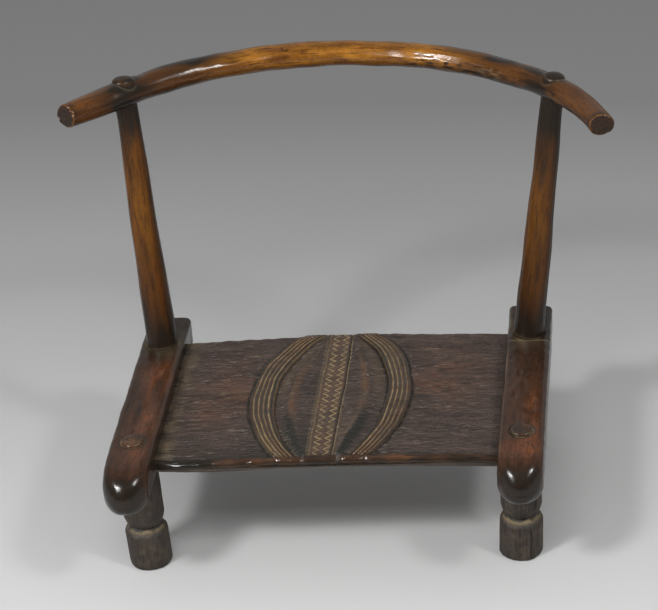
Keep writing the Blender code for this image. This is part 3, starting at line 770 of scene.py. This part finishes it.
    # Marks of the adze, low waves, the margins by the rails and the rolled front lip behind a shallow groove
    longMarks, shortMarks = s.adzeWaves
    streak = ripples(plane, longMarks, 81) + s.shortShare * ripples(plane, shortMarks, 82)
    finish = s.adze * streak * np.where(carved, s.carvedAdze, 1.0) + s.waves * ripples(plane, s.waveSize, 83)
    marginFrom = reach - s.marginWidth
    margin = ramp(np.abs(x), marginFrom - s.marginEdge, marginFrom + s.marginEdge)
    finish += s.marginRise * margin
    lip = 1 - ramp(fromFront, *s.lip)
    groove = bell(fromFront - s.lipGroove[0], s.lipGroove[1])
    lipLine = bell(fromFront - s.lipLine[0], s.lipLine[1])     # lighter along the middle of the edge, where it is rubbed and where light is painted on the rolled bead
    relief = relief * (1 - lip) - s.grooveDepth * groove
    for atX in s.nicks:
        nick = np.maximum(nick, bell(x - atX, s.nickWidth))
    surface = top - drop[:, None] + crownAt(x) + (relief + finish) * fade[:, None]
    turnedBack = s.turnedBack * (1 - ramp(fromFront, 0, s.turnedDeep))
    frontLine = lip * (s.lipWave * ripples(plane, s.lipWaveSize, 95) + s.nickDepth * nick)
    upper = np.stack([x, yAt + frontLine + turnedBack * ramp(-x, *s.turnedFrom), surface], axis=-1)

    # Underside, from left to right, then the front face: rings that close on its middle line
    underX = np.linspace(-end, end, s.underColumns)
    underZ = top - s.thickness + lift[:, None] + crownAt(underX)
    under = np.stack(np.broadcast_arrays(underX, y[:, None], underZ), axis=-1)
    under[..., 1] += turnedBack[:, :1] * ramp(-under[..., 0], *s.turnedFrom)
    under[..., 2] += s.underLump * ripples(under, s.underWaves, 84) * fade[:, None]
    points = np.concatenate([upper, under], axis=1)
    share = np.array(s.faceRings)[:, None]
    centre = top - s.thickness / 2 + crownAt(points[0, :, 0])
    face = np.repeat(points[:1], len(share), axis=0)
    face[..., 2] = centre + (face[..., 2] - centre) * share
    points = np.concatenate([face, points])
    points[..., 1] += skew * points[..., 0]
    points[..., 0] += midX

    # Measures of the marks: dust in the cuts, wear on the arris and the lip, soot in the ends of the dish,
    # painted shade in the grooves and under the board, painted light along the lip
    red = ripples(plane, s.redWaves, 92)
    strength = bySide({name: np.array(s.lineDust[name])[order] for name in sideSign})
    strength = strength * np.where(isRight & (order == s.ridges), ramp(place, *s.lastLine), 1.0)
    halo = 0     # a darker zone just outside the oval
    for name, sign in sideSign.items():
        outside = sign * (x - lines["outer", name][:, None])
        halo = halo + bell(outside - s.haloPlace, s.haloWidth) * (outside > 0)
    at = dict(
        strip, x=x, place=place, depth=depth, fromInside=1 - depth, left=isLeft, right=isRight,
        inBand=inBand, inDish=inDish, inSlope=inSlope, inStrip=inStrip, middle=middle, plain=~carved,
        strength=strength, toCut=toCut, toBandEnd=(1 - depth) * wide, toInner=np.abs(x - lineAt("inner")),
        toRail=reach - np.abs(x), halo=halo, outline=outline, hatch=hatch, scratch=scratch, chip=chip,
        litWall=litWall, darkWall=darkWall, lineIn=lineIn, lipLine=lipLine, streak=streak,
        leftMargin=margin * (x < 0),
        speckled=inDish * isLeft * (depth < s.speckleTo) * ramp(-place, *s.speckleFrom),
        red=red, hand=ripples(plane, s.handmadeWave, 91), fleck=ripples(plane, s.fleckWaves, 94),
        marginCloud=ripples(plane, s.marginWave, 90), blotch=ripples(plane, s.blotchWaves, 93),
        haloCloud=ripples(plane, s.haloWave, 96))
    at["wedge"] = markFrom(s.wedge, at)
    at["rubbed"] = markFrom(s.rubbed, at) * ramp(red, *s.rubbedBy)
    marks = marksFrom(seatShape, at)
    marks["dust"] *= 1 - lip
    marks["worn"] = marks["worn"] * (1 - lip) * s.wornRed(at) + s.wornLip * lip
    marks["soot"] = marks["soot"] * (1 - lip) + lip * markFrom(s.lipSoot, at)
    # Painted shade in the groove behind the lip
    marks["soot"] += s.grooveSoot * groove * ~carved
    for name, values in marks.items():
        values = np.pad(values, [(0, 0), (0, s.underColumns)], constant_values=s.below[name])
        marks[name] = np.pad(values, [(len(share), 0), (0, 0)], mode="edge")
    dress("seatBoard", "seat_panel", material, points, marks, points.copy())


# Factor of the leg's dust: thicker and thinner in clouds
legUneven = varied("cloud", 0.65, 0.35)

# Legs: turned, with a waist above the foot, matt and dusty
legShape = dict(
    footRadius=0.0228, footHeight=0.043, ledgeRise=0.006, neckRadius=0.0155, neckHeight=0.003,
    rimRadius=0.0192, rimTaper=0.01, upperRadius=0.022, shoulder=0.118, tenonRadius=0.0116,
    pegChamfer=0.001, edge=0.0022, ease=0.001, core=0.0004, toeIn=0.005, rearShift=0.0028, step=0.0009,
    # Corners of the profile, as shares of the edge and the ease
    edgeTurn=0.3, rimEase=1.5, pegDome=0.2,
    around=150, facets=9, facetWander=(0.03, 0.03), facetDepth=0.0003, lump=0.0003,
    lumpWaves=(0.022, 0.022, 0.05), bodyFrom=(0.01, 0.015), furrow=0.00016,
    furrowWaves=(0.0028, 0.0028, 0.045), furrowFrom=(0.7, 2.2),
    crackTurn=dict(front=dict(left=-2.6, right=-1.05), rear=dict(left=1.2, right=2.2)), crackDepth=0.0013,
    crackWidth=0.0006, crackWander=0.022, crackWave=0.02, upperCrackAside=0.006,
    crack=((0.001, 0.006), (0.034, 0.048)), upperCrack=((0.058, 0.066), (0.085, 0.1)), upperCrackShare=0.6,
    pegFrom=0.002, ringWander=0.0006, cloudWave=0.01, blotchWaves=(0.02, 0.02, 0.05),
    # Marks: rows of a weight and its factors
    dust=((1.0, legUneven, near("ringAway", 0.00348, 0.0014)),
          (0.1, legUneven, rise("aboveFoot", -0.002, 0.001), rise("aboveLedge", 0.0015, 0)),
          (0.12, "furrow", "plain"), (0.3, "peg", rise("radius", 0.0098, 0.0112), rise("cloud", -0.2, 0.9)),
          (0.1, "plain", rise("cloud", 0.2, 1.8))),
    # Soot in the cracks and round the peg; painted shade in the neck under the rim and at the top under the
    # rail
    soot=((0.9, "crack"), (0.95, near("aboveRim", -0.001, 0.0036)), (0.5, "plain", rise("z", 0.085, 0.11)),
          (0.45, near("z", 0, 0.004)), (0.45, near("aboveFoot", 0, 0.0014)),
          (0.35, rise("blotch", 0.2, 1.6)), (0.18, "peg"), (0.25, "peg", rise("cloud", -0.5, 1.2))),
    worn=((1.0, "peg"), (0.06, near("z", 0.03, 0.012))),
)
legLook = dict(
    dark=(0.022, 0.016, 0.012), middle=(0.075, 0.056, 0.044), light=(0.175, 0.08, 0.036),
    black=(0.012, 0.01, 0.0085), dust=(0.29, 0.222, 0.125), patches=(22, 40, 40), grain=(1.4, 1.0, 1.0),
    lines=0.8, rough=0.48, roughVary=0.16, roughPatch=0.1, wornPolish=0.36, bump=0.6, ior=1.36,
)


# Leg: a profile of radius and height turned about a leaning line, with facets, furrows and a crack
def makeLeg(end, side, material):
    s = SimpleNamespace(**legShape)
    sign = sideSign[side]
    low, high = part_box(f"{end}_{side}_leg")
    footX = high.x - s.footRadius if sign < 0 else low.x + s.footRadius
    ledge = s.footHeight + s.ledgeRise
    rim = ledge + s.neckHeight
    edge = s.edge
    turn = s.edgeTurn * edge
    ease = s.ease
    profile = easedLine([
        (s.core, 0), (s.footRadius - edge, 0), (s.footRadius - turn, turn), (s.footRadius, edge),
        (s.footRadius, s.footHeight - ease), (s.footRadius - ease, s.footHeight),
        (s.neckRadius + ease, ledge), (s.neckRadius, rim - ease / 2), (s.rimRadius - s.rimEase * ease, rim),
        (s.rimRadius, rim + ease), (s.upperRadius, rim + s.rimTaper), (s.upperRadius, s.shoulder - ease),
        (s.tenonRadius, s.shoulder), (s.tenonRadius, high.z - s.pegChamfer),
        (s.tenonRadius - s.pegChamfer, high.z - s.pegDome * ease), (s.core, high.z)], s.step, 2)
    radius, z, angle, rod = turnedGrid(profile, s.around)
    seed = 100 + 10 * (end == "rear") + sign
    height = s.lump * ripples(rod, s.lumpWaves, seed + 1) - s.facetDepth * flats(s, angle, rod, seed)
    furrow = ramp(ripples(rod, s.furrowWaves, seed + 2), *s.furrowFrom)
    crackWave = ripples(rod * (0, 0, 1), (1, 1, s.crackWave), seed + 3)
    crackLine = s.crackTurn[end][side] + s.crackWander * crackWave
    crackAway = np.abs(angleFrom(angle, crackLine)) * s.footRadius
    crack = bell(crackAway, s.crackWidth) * plateau(z, *s.crack)
    upperCrack = bell(crackAway - s.upperCrackAside, s.crackWidth) * plateau(z, *s.upperCrack)
    height -= s.furrow * furrow + s.crackDepth * (crack + s.upperCrackShare * upperCrack)
    radius = withRelief(s, radius, height)
    footShift = s.rearShift * (end == "rear") * (1 - z / railTop)     # keeps the hidden feet behind the rails
    points = np.stack([footX + sign * (s.toeIn * z / railTop - footShift) + radius * np.cos(angle),
                       (low.y + high.y) / 2 + radius * np.sin(angle), z], axis=-1)

    # Measures of the marks: a ring of dust above the foot, soot in the cracks, painted shade in the neck and
    # at the top under the rail, a peg worn smooth
    cloud = ripples(points, s.cloudWave, seed + 4)
    peg = ramp(z, railTop - s.pegFrom, railTop)
    aboveFoot = z - s.footHeight
    at = dict(
        z=z, radius=radius, peg=peg, plain=1 - peg, aboveFoot=aboveFoot, aboveLedge=z - ledge,
        aboveRim=z - rim, ringAway=aboveFoot - s.ringWander * cloud, furrow=furrow,
        crack=np.clip(crack + upperCrack, 0, 1), cloud=cloud,
        blotch=ripples(points, s.blotchWaves, seed + 5))
    fibre = np.stack([z, points[..., 0], points[..., 1]], axis=-1)
    name = f"{end}{side.capitalize()}Leg"
    dress(name, f"{end}_{side}_leg", material, points, marksFrom(legShape, at), fibre)


# Back posts: tapered, set in the rails and right through the crest
postShape = dict(
    baseRadius=0.0168, topRadius=0.0116, splay=0.024, shift=0.008, lean=0.0155, rise=0.292, sunk=0.008,
    chamfer=0.0032, chamferTurn=0.35, chamferTop=1.2, dome=0.0008, tipBelow=0.0006, core=0.0004,
    step=0.0014, around=72, lump=0.00035, jointLump=0.3,
    lumpWaves=(0.03, 0.03, 0.07), facets=7, facetWander=(0.05, 0.09), facetDepth=0.00035,
    freeFrom=(0.0, 0.02), freeTo=(-0.03, -0.014), bodyFrom=(0.004, 0.009),
    # litTurn: the side painted lighter, as turned to the light; shadedFrom: how far round the painted shade
    # starts
    litTurn=dict(left=math.radians(-115), right=math.radians(-140)), cloudWaves=(0.01, 0.01, 0.06),
    shadedFrom=0.3,
    # Marks: rows of a weight and its factors
    # Worn in the middle, and painted lighter on the side turned to the light
    worn=((1.0, varied("facing", 0.35, 0.65), varied("cloud", 0.8, 0.3), near("share", 0.56, 0.25)),
          (0.25, "button")),
    soot=((0.95, rise("share", 0.22, 0.02)),
          # Darker near the crest, and painted shade on the side turned away from the light
          (0.9, rise("share", 0.78, 0.93), rise("pastCrest", 0.012, 0.006)), (0.8, "shaded"),
          (0.2, "cloudTops"), (0.1, "right"), (0.42, "right", rise("share", 0.52, 0.8)),
          (0.85, "button", varied("cloud", 0.95, 0.1))),
    dust=((0.35, near("up", 0, 0.001)), (0.2, near("pastCrest", 0.013, 0.001)), (0.03,)),
    button=(0.01, 0.013),
)
postLook = dict(
    dark=(0.036, 0.0115, 0.0025), middle=(0.13, 0.041, 0.004), light=(0.315, 0.115, 0.007),
    black=(0.017, 0.0105, 0.007), dust=(0.215, 0.165, 0.095), patches=(12, 60, 60), grain=(1.3, 1.0, 1.0),
    lines=0.75, rough=0.24, roughVary=0.08, roughPatch=0.08, wornPolish=0.03, bump=0.2, ior=1.25,
)


# Middle of a post where it meets its rail, and the line that it follows up to the middle of the crest rail
def postLine(side):
    s = SimpleNamespace(**postShape)
    sign = sideSign[side]
    base = np.array([railMid[side], legY["rear", side], railTop])
    return base, np.array([s.shift + sign * s.splay, s.lean - sign * stagger, s.rise])


# Post: a tapering profile turned about its slanting line, a little faceted, with a domed button on top
def makePost(side, material):
    s = SimpleNamespace(**postShape)
    sign = sideSign[side]
    base, line = postLine(side)
    length = np.linalg.norm(line)
    axis = line / length
    tip = (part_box(side + "_back_post")[1].z - base[2]) / axis[2] - s.tipBelow
    baseRadius, chamfer = s.baseRadius, s.chamfer
    turn = s.chamferTurn * chamfer
    tipRadius = baseRadius + (s.topRadius - baseRadius) / length * tip
    profile = easedLine([
        (s.core, -s.sunk), (baseRadius, -s.sunk), (baseRadius, 0), (tipRadius, tip - chamfer),
        (tipRadius - turn, tip - turn), (tipRadius - s.chamferTop * chamfer, tip),
        (s.core, tip + s.dome)], s.step, 1)
    radius, up, angle, rod = turnedGrid(profile, s.around)
    pastCrest = up - length
    free = ramp(up, *s.freeFrom) * (1 - ramp(pastCrest, *s.freeTo))
    height = s.lump * ripples(rod, s.lumpWaves, 132 + sign) * (s.jointLump + (1 - s.jointLump) * free)
    height -= s.facetDepth * flats(s, angle, rod, 130 + sign) * free
    radius = withRelief(s, radius, height)
    acrossX = np.cross([0, 1, 0], axis)
    acrossX /= np.linalg.norm(acrossX)
    acrossY = np.cross(axis, acrossX)
    points = base + axis * up[..., None]
    points += acrossX * (radius * np.cos(angle))[..., None] + acrossY * (radius * np.sin(angle))[..., None]

    # Measures of the marks: worn in the middle and painted lighter where it is turned to the light, soot at
    # the joints and painted shade behind
    cloud = ripples(rod, s.cloudWaves, 134 + sign)
    facing = np.cos(angle - s.litTurn[side])
    at = dict(
        up=up, share=up / length, pastCrest=pastCrest, right=sign > 0, button=ramp(pastCrest, *s.button),
        facing=np.clip(facing, 0, 1), shaded=np.clip(s.shadedFrom - facing, 0, 1), cloud=cloud,
        cloudTops=np.maximum(cloud, 0))
    fibre = np.stack([up, rod[..., 0], rod[..., 1]], axis=-1)
    dress(side + "Post", side + "_back_post", material, points, marksFrom(postShape, at), fibre)


# Factor of the crest's soot: along its upper edge
topEdge = near("turns", 1.6, 0.52)

# Crest rail: a bowed branch of oval section, golden where hands have rubbed it and painted lighter where it
# is turned to the light
crestShape = dict(
    crossing=math.radians(49), leftReach=0.077, rightReach=0.108, rightRadius=0.253, tilt=math.radians(3),
    depth=0.0286, height=0.0245, leftSwell=1.15, leftEnd=1.0, rightEnd=0.91, chamfer=0.0016, step=0.001,
    around=120, lump=0.00036, lumpWaves=((0.075, 0.03, 0.03), (0.03, 0.014, 0.014)), smallLump=0.45,
    # Bumps on the surface: height, then place and width along the rail, then place and width round it
    knots=((0.0008, -0.108, 0.012, 2.3, 0.7), (0.00064, 0.066, 0.01, 3.0, 0.8)),
    byLeftPost=((0.0012, -0.014, 0.011, 2.0, 0.8), (-0.0014, 0.024, 0.008, 1.3, 0.6)),
    facet=((0.025, 0.05), (0.13, 0.16)), facetDepth=0.0004, facetTurn=2.62, facetHalf=0.27, collar=0.0006,
    collarWidth=0.016, collarCalm=0.6, chips=90, chipDepth=0.00025, chipDepths=(0.4, 1.0),
    chipEdge=0.4, chipRun=(0.055, 0.215),
    chipTurn=(2.55, 4.2), chipLong=(0.002, 0.008), chipWide=(0.05, 0.14), crackRun=-0.0665, crackTurn=2.0,
    crackRadius=0.0036, crackWidth=0.0006, crackHook=(-0.002, 0.001), crackDepth=0.0009, turnLength=0.0125,
    # Rings of the sawn ends: share of the section, share of the chamfer, then their marks
    endShare=(1.0, 0.97, 0.93, 0.8, 0.62, 0.44, 0.27, 0.12, 0.03),
    endForward=(0.0, 0.45, 0.8, 0.92, 0.95, 0.98, 1.0, 1.0, 1.0), endCut=0.0004,
    endWaves=(0.004, 0.012, 0.004),
    endMarks=dict(worn=(0.3, 0.5, 0.4, 0, 0, 0, 0, 0, 0),
                  soot=(0.4, 0.35, 0.65, 0.9, 0.8, 0.9, 0.8, 0.9, 0.9), dust=0.0,
                  matt=(0, 0, 0.2, 0.5, 0.6, 0.6, 0.6, 0.6, 0.6)),
    # litTurn: the side painted lighter, as turned to the light; underTurn: where the painted shade underneath
    # is deepest
    litTurn=2.5, underTurn=4.9, buttonTurn=0.012, cloudWaves=(0.05, 0.012, 0.012),
    mottleWaves=(0.012, 0.004, 0.004), sootCloud=varied("cloud", 0.9, 0.2), sootRange=(0.65, 1.1),
    # Marks: rows of a weight and its factors
    # Worn between the posts, and painted lighter on the side turned to the light
    worn=((1.0, varied("cloud", 0.68, 0.25), varied("facing", 0.5, 0.5), rise("runs", -0.2, -0.11),
           rise("runs", 0.19, 0.085)),),
    soot=((1.15, near("fromLeft", -0.003, 0.034)), (0.85, near("fromRight", -0.006, 0.024)),
          (1.4, topEdge, near("runs", -0.165, 0.034)), (1.2, topEdge, near("runs", 0.184, 0.017)),
          (0.35, topEdge, rise("cloud", 0.0, 1.4)), (0.5, near("runs", -0.19, 0.05)),
          (0.38, near("runs", 0.19, 0.06)), (0.16, near("runs", 0.145, 0.055)),
          (0.66, rise("mottle", -0.6, 1.6), rise("runs", 0.03, 0.09), rise("turns", 2.6, 3.0)),
          (0.1, rise("pastPosts", 0, 0.03)), (0.16, rise("fromRight", 0.02, 0.05)),
          # Painted shade underneath, deeper on the right half
          (0.5, rise("under", -0.25, 0.9)), (0.25, rise("under", -0.25, 0.9), rise("runs", 0.0, 0.06))),
    lateSoot=((1.0, "crack"), (0.3, "chipped", rise("cloud", -0.8, 0.6)), (0.5, near("nearEnd", 0, 0.006))),
    dust=((0.02,), (1.0, varied("cloud", 0.16, 0.14), near("buttonAway", 0.0122, 0.0009)),
          (0.6, "chipped", near("runs", 0.176, 0.014))),
    matt=((0.5, rise("fromRight", 0.01, 0.04)),),
)
crestLook = dict(
    dark=(0.06, 0.018, 0.004), middle=(0.205, 0.072, 0.011), light=(0.58, 0.238, 0.023),
    black=(0.014, 0.01, 0.007), dust=(0.26, 0.2, 0.115), patches=(22, 60, 60), grain=(1.5, 1.0, 1.0),
    lines=0.65, rough=0.14, roughVary=0.05, roughPatch=0.07, wornPolish=0.02, bump=0.14, ior=1.33,
)


# Crest: an oval section along a bow that is straight past the left post and tighter past the right one
def makeCrest(material):
    s = SimpleNamespace(**crestShape)
    tops = {side: sum(postLine(side)) for side in sideSign}
    centre = (tops["left"] + tops["right"]) / 2
    crossing = s.crossing
    bow = (tops["right"][0] - tops["left"][0]) / 2 / math.sin(crossing)
    halfSpan = bow * crossing
    run = np.arange(-halfSpan - s.leftReach, halfSpan + s.rightReach, s.step)
    angle = np.clip(run / bow, -crossing, crossing)
    pastLeft = np.maximum(-run - halfSpan, 0)
    pastRight = np.maximum(run - halfSpan, 0)
    curl = crossing + pastRight / s.rightRadius
    x = bow * np.sin(angle) - pastLeft * math.cos(crossing)
    x += s.rightRadius * (np.sin(curl) - math.sin(crossing))
    y = bow * (np.cos(angle) - math.cos(crossing)) - pastLeft * math.sin(crossing)
    y += s.rightRadius * (np.cos(curl) - math.cos(crossing))
    heading = np.where(pastRight > 0, curl, angle)
    sideways = np.array([1, 0, 0])
    backwards = np.array([0, math.cos(s.tilt), -math.sin(s.tilt)])     # the bow's plane is lower at the back
    upright = np.cross(sideways, backwards)
    line = centre + x[:, None] * sideways + y[:, None] * backwards
    out = np.sin(heading)[:, None] * sideways + np.cos(heading)[:, None] * backwards
    swell = np.interp(run, [run[0], -halfSpan, halfSpan, run[-1]], [s.leftEnd, s.leftSwell, 1.0, s.rightEnd])

    turn = np.linspace(0, tau, s.around, endpoint=False)
    ring = np.cos(turn)[:, None] * s.depth / 2 * out[:, None, :]
    ring = (ring + np.sin(turn)[:, None] * s.height / 2 * upright) * swell[:, None, None]
    runs = np.broadcast_to(run[:, None], ring.shape[:2])
    turns = np.broadcast_to(turn, ring.shape[:2])
    section = np.stack([runs, s.depth / 2 * np.cos(turns), s.height / 2 * np.sin(turns)], axis=-1)
    fromLeft = runs + halfSpan
    fromRight = runs - halfSpan
    fromPost = np.minimum(np.abs(fromLeft), np.abs(fromRight))

    # Relief: lumps, knots, a hewn flat on the right half's front, collars, flakes and a hooked crack
    broad, small = s.lumpWaves
    height = s.lump * (ripples(section, broad, 150) + s.smallLump * ripples(section, small, 151))
    for size, place, long, turnPlace, wide in s.knots:
        height += size * bell(runs - place, long) * bell(angleFrom(turns, turnPlace), wide)
    for size, place, long, turnPlace, wide in s.byLeftPost:     # a swelling outside the post, a notch inside
        height += size * bell(fromLeft - place, long) * bell(turns - turnPlace, wide)
    flat = np.maximum(1 - ((turns - s.facetTurn) / s.facetHalf) ** 2, 0)
    collar = bell(fromPost, s.collarWidth)
    height += s.collar * collar - s.facetDepth * flat * plateau(runs, *s.facet)
    rng = np.random.default_rng(152)
    chipped = np.zeros_like(height)
    for k in range(s.chips):
        chipRun, chipTurn = rng.uniform(*s.chipRun), rng.uniform(*s.chipTurn)
        long, wide = rng.uniform(*s.chipLong), rng.uniform(*s.chipWide)
        away = np.hypot((runs - chipRun) / long, (turns - chipTurn) / wide)
        chipped = np.maximum(chipped, rng.uniform(*s.chipDepths) * ramp(1 - away, 0, s.chipEdge))
    alongCrack = runs - s.crackRun
    roundCrack = (turns - s.crackTurn) * s.turnLength
    crack = bell(np.hypot(alongCrack, roundCrack) - s.crackRadius, s.crackWidth)     # part of a small ring
    crack *= ramp(roundCrack - alongCrack, *s.crackHook)
    height -= s.chipDepth * chipped + s.crackDepth * crack
    grown = ring * (1 + (height * (1 - s.collarCalm * collar) / np.linalg.norm(ring, axis=-1)))[..., None]

    # Ends: a chamfer, then the sawn face drawn in to its middle
    def cap(index, away):
        shrunk = grown[index] * np.array(s.endShare)[:, None, None]
        forward = np.array(s.endForward)[:, None] * s.chamfer
        cut = s.endCut * ripples(shrunk, s.endWaves, 160 + away)
        return line[index] + shrunk + np.cross(out[index], upright) * (away * (forward + cut))[..., None]

    def extend(values, ends):
        face = np.broadcast_to(np.array(ends, float).reshape(-1, 1), (len(lastEnd), s.around))
        return np.concatenate([face[::-1], values[1:-1], face])

    ahead = int(np.sign(np.dot(np.cross(out[0], upright), line[1] - line[0])))
    lastEnd = cap(-1, ahead)
    points = np.concatenate([cap(0, -ahead)[::-1], (line[:, None, :] + grown)[1:-1], lastEnd])

    # Measures of the marks: worn between the posts and painted lighter where turned to the light, soot at the
    # posts and the ends, painted shade underneath
    at = dict(
        runs=runs, turns=turns, fromLeft=fromLeft, fromRight=fromRight, pastPosts=np.abs(runs) - halfSpan,
        under=np.cos(turns - s.underTurn), facing=np.clip(np.cos(turns - s.litTurn), 0, 1),
        nearEnd=np.minimum(runs - run[0], run[-1] - runs), mottle=ripples(section, s.mottleWaves, 155),
        buttonAway=np.hypot(fromPost, (turns - math.pi / 2) * s.buttonTurn), crack=crack, chipped=chipped,
        cloud=ripples(section, s.cloudWaves, 153))
    marks = marksFrom(crestShape, at)
    marks["soot"] = marks["soot"] * np.clip(s.sootCloud(at), *s.sootRange) + markFrom(s.lateSoot, at)
    marks = {name: extend(values, s.endMarks[name]) for name, values in marks.items()}
    fibre = np.stack([extend(section[..., k], 0.0) for k in range(3)], axis=-1)
    for face in (slice(len(lastEnd)), slice(-len(lastEnd), None)):     # the sawn faces show end grain
        fibre[face] = points[face]
    dress("crestRail", "crest_rail", material, points, marks, fibre)


railWood = woodFinish("railWood", railLook)
seatWood = woodFinish("seatWood", seatLook)
legWood = woodFinish("legWood", legLook)
postWood = woodFinish("postWood", postLook)
crestWood = woodFinish("crestWood", crestLook)
print("wood finishes made")

for side in sideSign:
    makeRail(side, railWood)
    makePost(side, postWood)
    for end in ("front", "rear"):
        makeLeg(end, side, legWood)
makeSeat(seatWood)
makeCrest(crestWood)

# Floor, lights and camera: keys light the surfaces, panels only shine in the gloss
studio = dict(
    # floorNear to floorFar: the floor's colour darkens towards the back, a painted falloff of the light
    floorSize=12.0, floorNear=(0.8, 0.8, 0.8), floorFar=(0.285, 0.285, 0.285), floorRange=(-0.32, 0.95),
    floorFall=0.78, floorRough=0.8, floorShine=0.1, worldRange=(-0.8, 0.8), worldFront=0.06, worldBack=0.44,
    ambient=0.37, aim=(0.0, 0.0, 0.25),
    lights=dict(leftKey=dict(place=(-1.35, -1.6, 2.4), size=(0.48, 0.4), power=37.0, diffuse=True),
                rightKey=dict(place=(1.95, -1.2, 2.6), size=(0.48, 0.4), power=22.0, diffuse=True),
                frontFill=dict(place=(-0.1, -2.1, 2.9), size=(1.2, 0.8), power=22.0, diffuse=True),
                leftPanel=dict(place=(-1.85, -1.9, 2.2), size=(0.9, 0.44), power=155.0, diffuse=False),
                rightPanel=dict(place=(1.9, -1.25, 2.45), size=(0.75, 0.32), power=76.0, diffuse=False)),
)
cameraView = dict(
    fromRail=(0.5513, -2.0679, 1.5035), heading=math.radians(-8.263), pitch=math.radians(-30.84),
    roll=math.radians(-4.36), lens=139.15, sensor=36.0,
)


# Floor: one large square of paper whose colour darkens towards the back, a painted falloff of the light
def makeFloor():
    half = studio["floorSize"] / 2
    mesh = bpy.data.meshes.new("floor")
    corners = [(-half, -half, 0), (half, -half, 0), (half, half, 0), (-half, half, 0)]
    mesh.from_pydata(corners, [], [(0, 1, 2, 3)])
    floor = bpy.data.objects.new("floor", mesh)
    bpy.context.scene.collection.objects.link(floor)
    paper = bpy.data.materials.new("studioPaper")
    paper.use_nodes = True
    tree = paper.node_tree
    shader = tree.nodes["Principled BSDF"].inputs
    place = addNode(tree, "ShaderNodeTexCoord").outputs["Object"]
    toBack = addNode(tree, "ShaderNodeSeparateXYZ", {0: place}).outputs["Y"]
    away = calc(tree, "POWER", spread(tree, toBack, *studio["floorRange"], "LINEAR"), studio["floorFall"])
    feed(tree, shader["Base Color"], mixColour(tree, away, studio["floorNear"], studio["floorFar"]))
    shader["Roughness"].default_value = studio["floorRough"]
    shader["Specular IOR Level"].default_value = studio["floorShine"]
    mesh.materials.append(paper)


# Light: a rectangle turned to the aim, seen either by surfaces or by the gloss
def makeLight(name, look):
    light = bpy.data.lights.new(name, "AREA")
    light.shape = "RECTANGLE"
    light.size, light.size_y = look["size"]
    light.energy = look["power"]
    lamp = bpy.data.objects.new(name, light)
    lamp.location = look["place"]
    lamp.visible_diffuse = look["diffuse"]
    lamp.visible_glossy = not look["diffuse"]
    lamp.rotation_euler = (Vector(studio["aim"]) - Vector(look["place"])).to_track_quat("-Z", "Y").to_euler()
    bpy.context.scene.collection.objects.link(lamp)


# Camera: placed from the left rail's corner, looking along its heading and pitch, with a slight roll
def makeCamera():
    data = bpy.data.cameras.new("camera")
    data.sensor_width = cameraView["sensor"]
    data.lens = cameraView["lens"]
    heading, pitch = cameraView["heading"], cameraView["pitch"]
    look = Vector((math.sin(heading) * math.cos(pitch), math.cos(heading) * math.cos(pitch), math.sin(pitch)))
    camera = bpy.data.objects.new("camera", data)
    camera.location = railBox["left"][0] + Vector(cameraView["fromRail"])
    roll = Quaternion((0, 0, 1), cameraView["roll"])
    camera.rotation_euler = (look.to_track_quat("-Z", "Y") @ roll).to_euler()
    bpy.context.scene.collection.objects.link(camera)
    bpy.context.scene.camera = camera


# Surroundings: even light, but in the gloss a studio that is dark in front and paler at the back
def makeWorld():
    world = bpy.data.worlds.new("studio")
    world.use_nodes = True
    tree = world.node_tree
    backdrop = tree.nodes["Background"].inputs
    backdrop["Color"].default_value = (1, 1, 1, 1)
    place = addNode(tree, "ShaderNodeTexCoord").outputs["Generated"]
    low, high = studio["worldRange"]
    feeds = {"Value": addNode(tree, "ShaderNodeSeparateXYZ", {0: place}).outputs["Y"], "From Min": low,
             "From Max": high, "To Min": studio["worldFront"], "To Max": studio["worldBack"]}
    glow = addNode(tree, "ShaderNodeMapRange", feeds).outputs["Result"]
    glossRay = addNode(tree, "ShaderNodeLightPath").outputs["Is Glossy Ray"]
    inGloss = calc(tree, "SUBTRACT", glow, studio["ambient"])
    feed(tree, backdrop["Strength"], plus(tree, studio["ambient"], glossRay, inGloss))
    bpy.context.scene.world = world


makeFloor()
for lightName, lightLook in studio["lights"].items():
    makeLight(lightName, lightLook)
makeCamera()
makeWorld()
bpy.context.scene.view_settings.view_transform = "Standard"
print("floor, lights and camera made")
